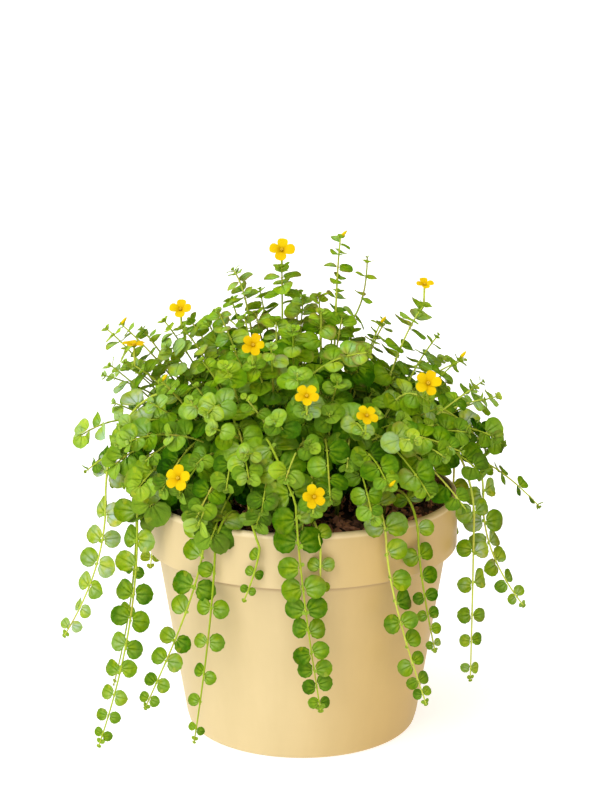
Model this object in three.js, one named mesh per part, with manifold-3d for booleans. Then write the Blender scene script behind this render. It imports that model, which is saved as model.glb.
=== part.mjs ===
// A creeping lysimachia in a round collared pot, in millimetres, +Z up, its front towards -Y.
// The origin is the middle of the pot's underside. The pot holds a plug of potting mix. Leafy shoots rise
// from the mix into a mound, stems trail over the rim and hang down the pot, and yellow flowers stand on
// some of the shoots. Angles round the pot are counted in degrees from the front towards +X.
import * as THREE from "three";
import Module from "manifold-3d";

// The pot.
const RIM_RADIUS = 110;
const RIM_HEIGHT = 171;
const COLLAR_FOOT = 132.5;
const BODY_TOP_RADIUS = 103;
const BODY_FOOT_RADIUS = 82;
const FOOT_ROUNDING = 4;
const WALL = 4;
const LIP_ROUNDING = 1.6;
const COLLAR_ROUNDING = 2;
const FLOOR_THICKNESS = 6;
const POT_SIDES = 32;

// The potting mix, and the clearance between pieces that meet.
const SOIL_TOP = 165;
const SOIL_FLAT_RADIUS = 96;
const SOIL_EDGE_DIP = 2.5;
const SOIL_LUMP = 1.5;
const SOIL_SEED = 7;
const CLEARANCE = 0.3;

// Stems. A trailing stem reaches its crest and starts to hang at set shares of its length.
const STEM_WIDTH = 2.2;
const STEM_TIP_WIDTH = 1.2;
const FORK_WIDTH = 1.4;
const FORK_AT = 0.45;
const CREST_AT = 0.24;
const HANG_AT = 0.45;
const OVER_AT = 0.28;
const TRAILING_BENDS = [0.12, CREST_AT];
const SHOOT_BENDS = [0.24, FORK_AT];
const FORK_BENDS = [0.4];
const STRAIGHT_LIFT = 10;

// Leaves. LEAF_JOINT is the length of stem that carries a pair. PAIR_GAPS and TIER_GAPS are the distances of
// pairs and of crosses of leaves from a shoot's tip, and the SIZES beside them shares of its largest leaf.
const LEAF_JOINT = 1.8;
const LEAF_REACH = 1.04;
const LEAF_SPREAD = 1.08;
const PETIOLE = 0.15;
const TIER_PETIOLE = 0.28;
const SMALL_LEAF = 10.5;
const LARGE_LEAF = 14.8;
const PAIR_GAPS = [6, 17, 31, 47, 64];
const PAIR_SIZES = [0.62, 0.8, 1, 1, 1];
const TIER_GAPS = [5, 17, 31];
const TIER_SIZES = [0.8, 1, 1.04];
const TRAILING_LEAVES_FROM = 0.28;

// Leaves turn to the light: round towards the back behind BACK_FROM and towards the front before it, with a
// pull that is stronger on trailing stems, and upwards, the more so above RISES_FROM.
const TRAILING_PULL = 3;
const SHOOT_PULL = 1.3;
const LIGHT_TURN = 60;
const BACK_FROM = 45;
const LOW_RISE = 0.7;
const RISES_FROM = 200;
const RISES_OVER = 105;

// How a leaf may lie when it can't lie as meant: turned about its midrib, drooped, and made smaller.
const LEAF_TRIES = [
  [0, 0, 1], [18, -8, 1], [-18, 8, 1], [0, 24, 1], [0, -24, 1], [36, 10, 0.92], [-36, -10, 0.92],
  [20, 34, 0.86], [-20, -34, 0.86], [50, 0, 0.8], [-50, 0, 0.8],
];

// What is kept free round the samples of leaves and stems, and between leaves and the pot.
const LEAF_KEEP = 1.3;
const STEM_KEEP = 2.4;
const POT_MARGIN = 1.2;
const SAMPLE_GAP = 2.2;
const BED_CELL = 5;
const WALK_STEPS = 120;
const ROOT_TRIES = 24;

// The flowers. PETAL_OUTLINE gives shares of a petal's turn, of the flower's radius, and of the rise.
const FLOWER_RADIUS = 8.8;
const PETALS = 5;
const PETAL_OUTLINE = [[0, 0.38, 0.02], [0.28, 0.98, 0.14], [0.72, 0.98, 0.14]];
const THROAT_DEPTH = 0.3;
const PEDICEL_WIDTH = 1.4;
const PEDICEL_BACK = 6;
const PEDICEL_DROP = 11;

const FLOWERING_SEED = 40;
const LEAFY_SEED = 60;

const LOOK = {
  pot: { color: 0xe6c88f, roughness: 0.62 },
  soil: { color: 0x2e1c12, roughness: 1 },
  shoot: { color: 0x5c9634, roughness: 0.5 },
  trailing: { color: 0x6ea83c, roughness: 0.5 },
  flower: { color: 0xfbc813, roughness: 0.5 },
};

// Stems that trail over the rim. at: the angles at the crest, where the stem starts to hang, and at the tip.
// root, crest, hang, tip: radius from the pot's axis, and height where it isn't the mix's own.
// pairs: leaf pairs from the crest to the tip. leaf: the largest leaf's width.
const TRAILING = [
  { at: [-76, -79, -82], root: 58, crest: [92, 247], hang: [139, 172], tip: [170, 69], pairs: 8, leaf: 15 },
  { at: [-62, -64, -63], root: 84, crest: [103, 202], hang: [125, 168], tip: [158, 6], pairs: 12, leaf: 15 },
  { at: [-83, -85, -86], root: 88, crest: [103, 184], hang: [117, 166], tip: [136, 26], pairs: 7, leaf: 9 },
  { at: [-35, -34, -63], root: 88, crest: [103, 186], hang: [116, 163], tip: [123, 27], pairs: 9, leaf: 15 },
  { at: [-27, -30, -39], root: 90, crest: [102, 181], hang: [115, 160], tip: [117, 17], pairs: 8, leaf: 12 },
  { at: [-22, -14, -19], root: 80, crest: [95, 188], hang: [115, 163], tip: [118, 126], pairs: 4, leaf: 9 },
  { at: [-14, -2, 6], root: 70, crest: [97, 232], hang: [119, 196], tip: [117, 51], pairs: 13, leaf: 16.5 },
  { at: [4, 6, 6], root: 92, crest: [103, 179], hang: [115, 163], tip: [115, 127], pairs: 3, leaf: 9.5 },
  { at: [28, 29, 46], root: 84, crest: [98, 189], hang: [115, 160], tip: [118, 41], pairs: 10, leaf: 14.5 },
  { at: [41, 42, 51], root: 84, crest: [98, 191], hang: [116, 160], tip: [117, 76], pairs: 8, leaf: 11 },
  { at: [70, 74, 76], root: 62, crest: [88, 224], hang: [124, 158], tip: [123, 38], pairs: 7, leaf: 13 },
  { at: [81, 83, 85], root: 66, crest: [98, 230], hang: [128, 166], tip: [158, 88], pairs: 7, leaf: 14 },
  { at: [112, 115, 120], root: 72, crest: [97, 214], hang: [123, 165], tip: [127, 114], pairs: 4, leaf: 14 },
  { at: [140, 138, 132], root: 82, crest: [99, 194], hang: [116, 160], tip: [120, 66], pairs: 6, leaf: 14 },
  { at: [-172, -169, -166], root: 84, crest: [99, 196], hang: [117, 160], tip: [121, 92], pairs: 4, leaf: 14 },
  { at: [-112, -114, -118], root: 80, crest: [99, 198], hang: [119, 164], tip: [128, 92], pairs: 5, leaf: 14 },
];

// Shoots that carry a flower: where the flower's middle stands, and which way it faces, as an angle round
// the pot and an angle above the horizon. lift: how far the shoot's arch rises. tiers: crosses of four
// leaves under its tip. leaf: the largest leaf's width. petals: where they aren't five.
const FLOWERING = [
  { flower: [-14, 2, 342], faces: [0, 36], lift: 6, tiers: 2, leaf: 13.5, petals: 4, size: 1.12 },
  { flower: [-84, -6, 302], faces: [-6, 44], lift: -6, tiers: 2, leaf: 13.5, petals: 4, size: 1.02 },
  { flower: [-116, -12, 279], faces: [-20, 82], lift: -6, tiers: 2, leaf: 13.5 },
  { flower: [-32, -78, 292], faces: [8, 12], lift: 6, tiers: 2, leaf: 14.5 },
  { flower: [3, -108, 265], faces: [0, 18], lift: 34, tiers: 2, leaf: 14 },
  { flower: [42, -112, 253], faces: [14, 24], lift: 34, tiers: 2, leaf: 14 },
  { flower: [84, -68, 264], faces: [4, 14], lift: 36, tiers: 2, leaf: 14.5, size: 1.22 },
  { flower: [-82, -99, 207], faces: [-16, 26], lift: 52, tiers: 1, leaf: 15.5 },
  { flower: [8, -136, 205], faces: [10, 20], lift: 62, tiers: 1, leaf: 15.5 },
  { flower: [85, 2, 318], faces: [8, 66], lift: -14, tiers: 2, leaf: 14, petals: 4, size: 0.85 },
];

// Shoots without a flower. Each starts from the mix and may fork into several branches. tip: where a branch
// ends. over: where its arch bends, where that isn't OVER_AT. pairs or tiers: opposite pairs, or crosses of
// four leaves, under the tip.
const LEAFY = [
  [
    { tip: [27, 20, 347], lift: 6, pairs: 5, leaf: 11 },
    { tip: [46, 32, 331], lift: -10, over: 0.85, pairs: 3, leaf: 11 },
  ],
  [
    { tip: [95, 6, 280], lift: -16, pairs: 4, leaf: 12 },
    { tip: [115, 22, 259], lift: -4, tiers: 2, leaf: 14 },
  ],
  [
    { tip: [141, -8, 204], lift: 54, tiers: 2, leaf: 15 },
    { tip: [139, 8, 236], lift: -2, tiers: 2, leaf: 14 },
  ],
  [{ tip: [171, 20, 151], lift: 70, pairs: 5, leaf: 12 }],
  [
    { tip: [-48, 22, 323], lift: 8, over: 0.1, pairs: 4, leaf: 12 },
    { tip: [-62, 50, 288], lift: 0, tiers: 3, leaf: 14.5 },
  ],
  [
    { tip: [-138, 20, 282], lift: -18, pairs: 3, leaf: 12 },
    { tip: [-139, 4, 252], lift: -6, tiers: 2, leaf: 13.5 },
  ],
  [
    { tip: [-157, -12, 210], lift: 44, pairs: 3, leaf: 14 },
    { tip: [-126, -48, 216], lift: 20, tiers: 2, leaf: 15 },
  ],
  [
    { tip: [-6, -58, 298], lift: 0, tiers: 3, leaf: 15 },
    { tip: [44, -68, 284], lift: 0, tiers: 3, leaf: 15 },
  ],
  [
    { tip: [-62, -92, 248], lift: 34, tiers: 3, leaf: 15.5 },
    { tip: [-34, -124, 212], lift: 22, tiers: 2, leaf: 15.5 },
  ],
  [
    { tip: [56, -118, 206], lift: 54, tiers: 2, leaf: 15.5 },
    { tip: [106, -76, 218], lift: 26, tiers: 2, leaf: 15.5 },
  ],
  [
    { tip: [60, 40, 283], lift: -4, tiers: 3, leaf: 14 },
    { tip: [106, 66, 250], lift: 0, tiers: 2, leaf: 15 },
  ],
  [
    { tip: [-82, 70, 278], lift: -4, tiers: 3, leaf: 14.5 },
    { tip: [-118, 76, 246], lift: 0, tiers: 2, leaf: 15 },
  ],
  [
    { tip: [-4, 62, 300], lift: 0, tiers: 3, leaf: 15 },
    { tip: [28, 106, 276], lift: 0, tiers: 2, leaf: 15.5 },
  ],
  [
    { tip: [112, 94, 204], lift: 48, tiers: 2, leaf: 15.5 },
    { tip: [74, 112, 222], lift: 20, tiers: 2, leaf: 15.5 },
  ],
  [
    { tip: [-4, 140, 206], lift: 48, tiers: 2, leaf: 15.5 },
    { tip: [44, 136, 200], lift: 20, tiers: 2, leaf: 15.5 },
  ],
  [
    { tip: [-70, 116, 222], lift: 48, tiers: 2, leaf: 15.5 },
    { tip: [-118, 84, 200], lift: 20, tiers: 2, leaf: 15.5 },
  ],
];

const UP = new THREE.Vector3(0, 0, 1);
const radians = THREE.MathUtils.degToRad;
const degrees = THREE.MathUtils.radToDeg;
const lerp = THREE.MathUtils.lerp;
const vector = (p) => new THREE.Vector3(p[0], p[1], p[2]);

// The point at an angle round the pot, a distance from its axis and a height.
function around(angle, radius, height) {
  const a = radians(angle);
  return new THREE.Vector3(radius * Math.sin(a), -radius * Math.cos(a), height);
}

// The angle round the pot at which a point stands.
const angleOf = (p) => degrees(Math.atan2(p.x, -p.y));

// A number from 0 to 1 that is always the same for the same two whole numbers.
function chance(seed, index) {
  let h = Math.imul(seed + 1, 0x9e3779b1) ^ Math.imul(index + 1, 0x85ebca6b);
  h = Math.imul(h ^ (h >>> 15), 0x2c1b3c6d);
  h = Math.imul(h ^ (h >>> 12), 0x297a2d39);
  return ((h ^ (h >>> 15)) >>> 0) / 4294967296;
}

// A number from -size to size, in the same way.
const sway = (seed, index, size) => (2 * chance(seed, index) - 1) * size;

// Points on part of a circle, for a rounded edge of a lathe profile.
function rounding(radius, height, size, from, to, steps) {
  return Array.from({ length: steps + 1 }, (unused, i) => {
    const a = radians(lerp(from, to, i / steps));
    return new THREE.Vector2(radius + size * Math.cos(a), height + size * Math.sin(a));
  });
}

// A turned shape that stands on Z.
const turned = (profile, sides) => new THREE.LatheGeometry(profile, sides).rotateX(Math.PI / 2);

// The radius of the pot's body outside at a height.
const bodyRadius = (z) => THREE.MathUtils.mapLinear(z, 0, COLLAR_FOOT, BODY_FOOT_RADIUS, BODY_TOP_RADIUS);

// The inside of the pot: up the body, out over a slanted step and up the collar.
const STEP_LOW = COLLAR_FOOT + WALL;
const STEP_HIGH = STEP_LOW + WALL;
const bodyInside = (z) => bodyRadius(z) - WALL;
const COLLAR_INSIDE = RIM_RADIUS - WALL;

function potGeometry() {
  const profile = [
    new THREE.Vector2(0, 0),
    ...rounding(BODY_FOOT_RADIUS - FOOT_ROUNDING, FOOT_ROUNDING, FOOT_ROUNDING, -90, -8, 1),
    new THREE.Vector2(BODY_TOP_RADIUS, COLLAR_FOOT),
    ...rounding(RIM_RADIUS - COLLAR_ROUNDING, COLLAR_FOOT + COLLAR_ROUNDING, COLLAR_ROUNDING, -90, 0, 1),
    ...rounding(RIM_RADIUS - LIP_ROUNDING, RIM_HEIGHT - LIP_ROUNDING, LIP_ROUNDING, 0, 90, 1),
    new THREE.Vector2(COLLAR_INSIDE, RIM_HEIGHT - LIP_ROUNDING / 2),
    new THREE.Vector2(COLLAR_INSIDE, STEP_HIGH),
    new THREE.Vector2(bodyInside(STEP_LOW), STEP_LOW),
    new THREE.Vector2(bodyInside(FLOOR_THICKNESS), FLOOR_THICKNESS),
    new THREE.Vector2(0, FLOOR_THICKNESS),
  ];
  return turned(profile, POT_SIDES);
}

function soilGeometry() {
  const play = CLEARANCE * 2;
  const low = FLOOR_THICKNESS + CLEARANCE;
  const edge = SOIL_TOP - SOIL_EDGE_DIP;
  const profile = [
    new THREE.Vector2(0, low),
    new THREE.Vector2(bodyInside(low) - play, low),
    new THREE.Vector2(bodyInside(STEP_LOW) - play, STEP_LOW),
    new THREE.Vector2(COLLAR_INSIDE - play, edge),
    new THREE.Vector2(SOIL_FLAT_RADIUS, SOIL_TOP),
    new THREE.Vector2(0, SOIL_TOP),
  ];
  const geometry = turned(profile, POT_SIDES);
  const position = geometry.getAttribute("position");
  const crumb = new THREE.Vector3();
  for (let i = 0; i < position.count; i += 1) {
    crumb.fromBufferAttribute(position, i);
    const side = Math.round((angleOf(crumb) * POT_SIDES) / 360 + POT_SIDES) % POT_SIDES;
    if (Math.abs(crumb.z - edge) < 0.01) position.setZ(i, edge + sway(SOIL_SEED, side, SOIL_LUMP));
  }
  return geometry;
}

// A body that grows as a list of corners and of triangles that share them.
class Skin {
  constructor() {
    this.corners = [];
    this.faces = [];
  }

  corner(point) {
    this.corners.push(point.clone());
    return this.corners.length - 1;
  }

  face(...corners) {
    for (let i = 1; i + 1 < corners.length; i += 1) this.faces.push(corners[0], corners[i], corners[i + 1]);
  }

  // A band of faces between two rings of corners.
  band(low, high) {
    low.forEach((c, i) => {
      const next = (i + 1) % low.length;
      this.face(c, low[next], high[next], high[i]);
    });
  }

  solid() {
    const vertProperties = new Float32Array(this.corners.flatMap((p) => p.toArray()));
    const triVerts = new Uint32Array(this.faces);
    return new wasm.Manifold(new wasm.Mesh({ numProp: 3, vertProperties, triVerts }));
  }
}

function geometryOf(solid) {
  const { vertProperties, triVerts } = solid.getMesh();
  const geometry = new THREE.BufferGeometry();
  geometry.setAttribute("position", new THREE.BufferAttribute(vertProperties, 3));
  geometry.setIndex(new THREE.BufferAttribute(triVerts, 1));
  geometry.computeVertexNormals();
  return geometry;
}

// What has grown so far, as samples in cubic cells. Each sample keeps a reach round it free of other growth.
class Bed {
  constructor() {
    this.cells = new Map();
  }

  static cell(p, dx = 0, dy = 0, dz = 0) {
    const [i, j, k] = [p.x, p.y, p.z].map((v) => Math.floor(v / BED_CELL) + 64);
    return ((i + dx) * 256 + j + dy) * 256 + k + dz;
  }

  add(points, reach, owner) {
    for (const p of points) {
      const cell = Bed.cell(p);
      if (!this.cells.has(cell)) this.cells.set(cell, []);
      this.cells.get(cell).push({ p, reach, owner });
    }
  }

  // Whether a point comes too near other growth. Growth for which mine is true doesn't count.
  crowdedAt(p, reach, mine) {
    for (let n = 0; n < 27; n += 1) {
      const cell = Bed.cell(p, (n % 3) - 1, (Math.floor(n / 3) % 3) - 1, Math.floor(n / 9) - 1);
      for (const q of this.cells.get(cell) ?? []) {
        if (!mine(q.owner) && q.p.distanceTo(p) < q.reach + reach) return true;
      }
    }
    return false;
  }

  crowded(points, reach, mine) {
    return points.some((p) => this.crowdedAt(p, reach, mine));
  }
}

const bed = new Bed();

// Whether a leaf's point is clear of the pot, of the mix in it and of the ground.
function clearOfPot(p) {
  const away = Math.hypot(p.x, p.y);
  if (p.z > RIM_HEIGHT + POT_MARGIN) return true;
  if (away > RIM_RADIUS + POT_MARGIN) return p.z > POT_MARGIN;
  return away < COLLAR_INSIDE - POT_MARGIN && p.z > SOIL_TOP + POT_MARGIN;
}

// The number of corners past the stalk in a leaf's outline.
const outlineFor = (width) => 4 - (width < SMALL_LEAF) + (width > LARGE_LEAF);

// The middle of a round leaf and its outline from one shoulder over the tip to the other.
function leafShape({ base, out, normal, width, petiole, outline }) {
  const across = new THREE.Vector3().crossVectors(normal, out);
  const radius = width / 2;
  const middle = base.clone().addScaledVector(out, radius + petiole * width);
  const step = 360 / (outline + 1);
  const rim = Array.from({ length: outline }, (unused, i) => {
    const a = radians(180 - step * (i + 1));
    return middle.clone()
      .addScaledVector(out, radius * LEAF_REACH * Math.cos(a))
      .addScaledVector(across, -radius * LEAF_SPREAD * Math.sin(a));
  });
  return { rim, middle };
}

// Points over a leaf, close enough together that nothing slips between them.
function leafSamples(leaf) {
  const { rim, middle } = leafShape(leaf);
  const petiole = leaf.base.clone().lerp(middle, 0.3);
  const edge = [petiole, ...rim];
  const points = [middle, petiole];
  edge.forEach((p, i) => {
    const q = edge[(i + 1) % edge.length];
    const steps = Math.ceil(p.distanceTo(q) / SAMPLE_GAP);
    for (let k = 0; k < steps; k += 1) {
      const onEdge = p.clone().lerp(q, k / steps);
      const spokes = Math.ceil(onEdge.distanceTo(middle) / SAMPLE_GAP);
      for (let m = 0; m < spokes; m += 1) points.push(onEdge.clone().lerp(middle, m / spokes));
    }
  });
  return points;
}

// The level direction that leaves at a point turn to: outwards, and round towards the front or the back.
function toTheLight(p, pull) {
  const turn = pull * LIGHT_TURN * (p.y < BACK_FROM ? -1 : 1);
  return new THREE.Vector3(p.x, p.y * (1 + pull) + turn, 0).normalize();
}

// Turns each leaf of a joint until it clears its neighbours, makes it smaller if need be, or leaves it off.
function fitLeaves(stem, joint, wanted) {
  const mine = (owner) => owner.stem === stem && (owner.joint === undefined || owner.joint === joint);
  const grown = [];
  for (const want of wanted) {
    for (const [turn, droop, shrink] of LEAF_TRIES) {
      const normal = want.normal.clone().applyAxisAngle(want.out, radians(turn)).normalize();
      const hinge = new THREE.Vector3().crossVectors(normal, want.out).normalize();
      const out = want.out.clone().applyAxisAngle(hinge, radians(droop)).normalize();
      normal.applyAxisAngle(hinge, radians(droop));
      const leaf = { ...want, out, normal, width: want.width * shrink };
      const points = leafSamples(leaf);
      if (points.every(clearOfPot) && !bed.crowded(points, LEAF_KEEP, mine)) {
        bed.add(points, LEAF_KEEP, { stem, joint });
        grown.push(leaf);
        break;
      }
    }
  }
  return grown;
}

// Sews a leaf to one side of a stem. The side's four corners run round it as seen from outside.
function sewLeaf(skin, side, leaf) {
  const across = new THREE.Vector3().crossVectors(leaf.normal, leaf.out);
  const middle = side.reduce((sum, c) => sum.add(skin.corners[c]), new THREE.Vector3()).divideScalar(4);
  const part = (c, way) => skin.corners[c].clone().sub(middle).dot(way);
  const fit = ([a, b, c, d]) => part(a, leaf.normal) + part(d, leaf.normal) - part(b, leaf.normal)
    - part(c, leaf.normal) + part(c, across) + part(d, across) - part(a, across) - part(b, across);
  const turns = [0, 1, 2, 3].map((turn) => side.map((unused, i) => side[(i + turn) % 4]));
  const [a, b, c, d] = turns.reduce((best, turn) => (fit(turn) > fit(best) ? turn : best));
  const rim = leafShape(leaf).rim.map((p) => skin.corner(p));
  const last = rim[rim.length - 1];
  skin.face(a, b, rim[0]);
  skin.face(last, c, d);
  skin.face(d, a, ...rim);
  skin.face(c, ...rim.slice().reverse(), b);
}

// The way a route runs at s.
const headingAt = (route, s) => route(Math.min(1, s + 0.01)).sub(route(Math.max(0, s - 0.01))).normalize();

// A route's points every few millimetres, and its length.
function walk(route) {
  const points = Array.from({ length: WALK_STEPS + 1 }, (unused, i) => route(i / WALK_STEPS));
  const length = points.slice(1).reduce((sum, p, i) => sum + p.distanceTo(points[i]), 0);
  return { points, length };
}

// A stem's cross directions at s: ahead is the way its first side faces.
function framesOf(stem, s) {
  const along = headingAt(stem.route, s);
  const face = stem.front(s);
  const ahead = face.addScaledVector(along, -face.dot(along)).normalize();
  return { along, ahead, aside: new THREE.Vector3().crossVectors(along, ahead) };
}

// The way that a stem's side faces at s.
function sideWay(stem, s, side) {
  const { ahead, aside } = framesOf(stem, s);
  const a = (2 * Math.PI * (side + 0.5 - stem.sides / 4)) / stem.sides + stem.turn;
  return ahead.multiplyScalar(Math.cos(a)).addScaledVector(aside, Math.sin(a));
}

// Grows a stem along its route with leaves on its sides at the joints.
function growStem(stem, joints) {
  const { route, length, sides, width, turn, fromMix } = stem;
  const skin = new Skin();
  const half = LEAF_JOINT / length / 2;
  const bare = [0, ...stem.bends].filter((s) => joints.every((joint) => Math.abs(joint.s - s) > 3 * half));
  const leafy = joints.flatMap(({ s, leaves }) => [{ s: s - half, leaves }, { s: s + half }]);
  const stations = [...bare.map((s) => ({ s })), ...leafy].sort((one, two) => one.s - two.s);
  const rings = stations.map(({ s }) => {
    const { ahead, aside } = framesOf(stem, s);
    const radius = lerp(width, STEM_TIP_WIDTH, s) / 2 / Math.cos(Math.PI / sides);
    return Array.from({ length: sides }, (unused, i) => {
      const a = (2 * Math.PI * (i - sides / 4)) / sides + turn;
      const p = route(s)
        .addScaledVector(ahead, radius * Math.cos(a))
        .addScaledVector(aside, radius * Math.sin(a));
      if (s === 0 && fromMix) p.z = SOIL_TOP + CLEARANCE;
      return skin.corner(p);
    });
  });
  skin.face(...rings[0].slice().reverse());
  rings.slice(1).forEach((high, i) => {
    const low = rings[i];
    const leaves = stations[i].leaves ?? [];
    low.forEach((c, side) => {
      const next = (side + 1) % sides;
      const corners = [c, low[next], high[next], high[side]];
      const leaf = leaves.find((one) => one.side === side);
      if (leaf) sewLeaf(skin, corners, leaf);
      else skin.face(...corners);
    });
  });
  const end = rings[rings.length - 1];
  const tip = skin.corner(route(1));
  end.forEach((c, i) => skin.face(c, end[(i + 1) % sides], tip));
  return skin;
}

// A route that rises from the mix, arches over the rim and hangs down outside it.
function trailingRoute({ at, root, crest, hang, tip }) {
  const [crestAngle, hangAngle, tipAngle] = at;
  return (s) => {
    if (s < CREST_AT) {
      const a = (s / CREST_AT) * (Math.PI / 2);
      const radius = root + (crest[0] - root) * (1 - Math.cos(a));
      return around(crestAngle, radius, SOIL_TOP + (crest[1] - SOIL_TOP) * Math.sin(a));
    }
    if (s < HANG_AT) {
      const u = (s - CREST_AT) / (HANG_AT - CREST_AT);
      const a = u * (Math.PI / 2);
      const radius = crest[0] + (hang[0] - crest[0]) * Math.sin(a);
      const height = crest[1] - (crest[1] - hang[1]) * (1 - Math.cos(a));
      return around(lerp(crestAngle, hangAngle, u), radius, height);
    }
    const u = (s - HANG_AT) / (1 - HANG_AT);
    const angle = lerp(hangAngle, tipAngle, u ** 1.4);
    return around(angle, hang[0] + (tip[0] - hang[0]) * u * u, lerp(hang[1], tip[1], u));
  };
}

function planTrailing(spec, seed) {
  const route = trailingRoute(spec);
  const { points, length } = walk(route);
  // The front looks back over the mix at the root, up at the crest, and to the light where the stem hangs.
  const front = (s) => {
    const p = route(Math.max(s, CREST_AT));
    const rising = Math.max(0, 1 - s / CREST_AT);
    const hung = THREE.MathUtils.smoothstep(s, CREST_AT, HANG_AT);
    const light = toTheLight(p, TRAILING_PULL).multiplyScalar((0.3 + 0.7 * hung) * (1 - rising));
    const inward = new THREE.Vector3(-p.x, -p.y, 0).normalize().multiplyScalar(2 * rising);
    return light.add(inward).addScaledVector(UP, 1 - 0.8 * hung).normalize();
  };
  bed.add(points, STEM_KEEP, { stem: seed });
  const shape = { sides: 3, turn: Math.PI / 2, width: STEM_WIDTH, bends: TRAILING_BENDS, fromMix: true };
  return { spec, seed, route, length, front, ...shape };
}

// Opposite pairs lie on either side of a trailing stem and face outwards, smaller towards the tip.
function growTrailing(stem) {
  const { spec, seed, route, front } = stem;
  const joints = Array.from({ length: spec.pairs }, (unused, k) => {
    const share = (k + 0.3) / spec.pairs;
    const s = lerp(TRAILING_LEAVES_FROM, 1, share);
    const { along } = framesOf(stem, s);
    const size = spec.leaf * (1 - 0.6 * share ** 2.4);
    const wanted = [0, 2].map((side) => {
      const way = side === 0 ? 1 : -1;
      const pick = 2 * k + side / 2;
      const face = front(s).applyAxisAngle(along, way * radians(12 + sway(seed, pick, 16)));
      const aside = new THREE.Vector3().crossVectors(along, face).multiplyScalar(way).normalize();
      const out = aside.applyAxisAngle(face, -way * radians(10 + sway(seed, 50 + pick, 14)));
      const normal = face.addScaledVector(out, -face.dot(out)).normalize();
      const width = size * (1 + sway(seed, 100 + pick, 0.1));
      return { base: route(s), out, normal, width, petiole: PETIOLE, outline: outlineFor(width), side };
    });
    return { s, leaves: fitLeaves(seed, k, wanted) };
  });
  return geometryOf(growStem(stem, joints).solid());
}

// A route that rises from its start and arches outwards to its tip, over a point at a share of the way.
function archRoute(start, tip, lift, share = OVER_AT) {
  const over = start.clone().lerp(tip, share);
  over.z = (start.z + tip.z) / 2 + lift + (tip.z - start.z) * 0.32;
  return (s) => start.clone().multiplyScalar((1 - s) ** 2)
    .addScaledVector(over, 2 * s * (1 - s))
    .addScaledVector(tip, s * s);
}

// A shoot's branch from a start to a tip. Its four sides twist slowly round it.
function planBranch(spec, seed, start, tip, fromMix) {
  const route = archRoute(start, tip, spec.lift, spec.over);
  const { points, length } = walk(route);
  const across = new THREE.Vector3().crossVectors(UP, tip.clone().sub(start).setZ(0).normalize());
  const front = (s) => across.clone().applyAxisAngle(UP, radians(sway(seed, 300, 35)) * s);
  const bends = Math.abs(spec.lift) < STRAIGHT_LIFT ? [FORK_AT] : SHOOT_BENDS;
  const shape = fromMix ? { width: STEM_WIDTH, bends } : { width: FORK_WIDTH, bends: FORK_BENDS };
  return { spec, seed, route, points, length, front, sides: 4, turn: Math.PI / 4, fromMix, ...shape };
}

// Finds a root for a shoot under its tip, nearer to the pot's axis, from which its stem clears the others.
function planShoot(spec, seed, tip) {
  const away = Math.hypot(tip.x, tip.y);
  const clears = (branch) => !bed.crowded(branch.points, STEM_KEEP / 2, (owner) => owner.stem === seed);
  const tries = Array.from({ length: ROOT_TRIES }, (unused, k) => {
    const radius = Math.min(84, 8 + away * 0.44) + sway(seed, 400 + k, 4 + 0.6 * k);
    const root = around(angleOf(tip) + sway(seed, 440 + k, 4 + 2 * k), Math.abs(radius), SOIL_TOP);
    return planBranch(spec, seed, root, tip, true);
  });
  const branch = tries.find(clears) ?? tries[0];
  bed.add(branch.points, STEM_KEEP, { stem: seed });
  return branch;
}

// Leaves on a shoot face along it and to the light.
function growBranch(stem) {
  const { spec, seed, route, length } = stem;
  const [gaps, sizes] = spec.tiers ? [TIER_GAPS, TIER_SIZES] : [PAIR_GAPS, PAIR_SIZES];
  const spots = gaps.slice(0, spec.tiers ?? spec.pairs).map((gap) => 1 - gap / length).reverse();
  const joints = spots.map((s, k) => {
    const size = spec.leaf * sizes[spots.length - 1 - k];
    const rise = LOW_RISE + Math.max(0, route(s).z - RISES_FROM) / RISES_OVER;
    const light = toTheLight(route(s), SHOOT_PULL).addScaledVector(UP, rise).normalize();
    const normal = light.add(framesOf(stem, s).along).normalize();
    const sides = spec.tiers ? [0, 1, 2, 3] : [k % 2, 2 + (k % 2)];
    const wanted = sides.map((side) => {
      const pick = 7 * k + side;
      const way = sideWay(stem, s, side);
      const out = way.addScaledVector(normal, -0.85 * way.dot(normal)).normalize();
      const tilted = normal.clone().applyAxisAngle(out, radians(sway(seed, pick, 12)));
      tilted.addScaledVector(out, -tilted.dot(out)).normalize();
      const width = size * (1 + sway(seed, 100 + pick, 0.12));
      const petiole = spec.tiers ? TIER_PETIOLE : PETIOLE;
      const outline = Math.min(4, outlineFor(width));
      return { base: route(s), out, normal: tilted, width, petiole, outline, side };
    });
    return { s, leaves: fitLeaves(seed, k, wanted) };
  });
  return growStem(stem, joints).solid();
}

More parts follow.
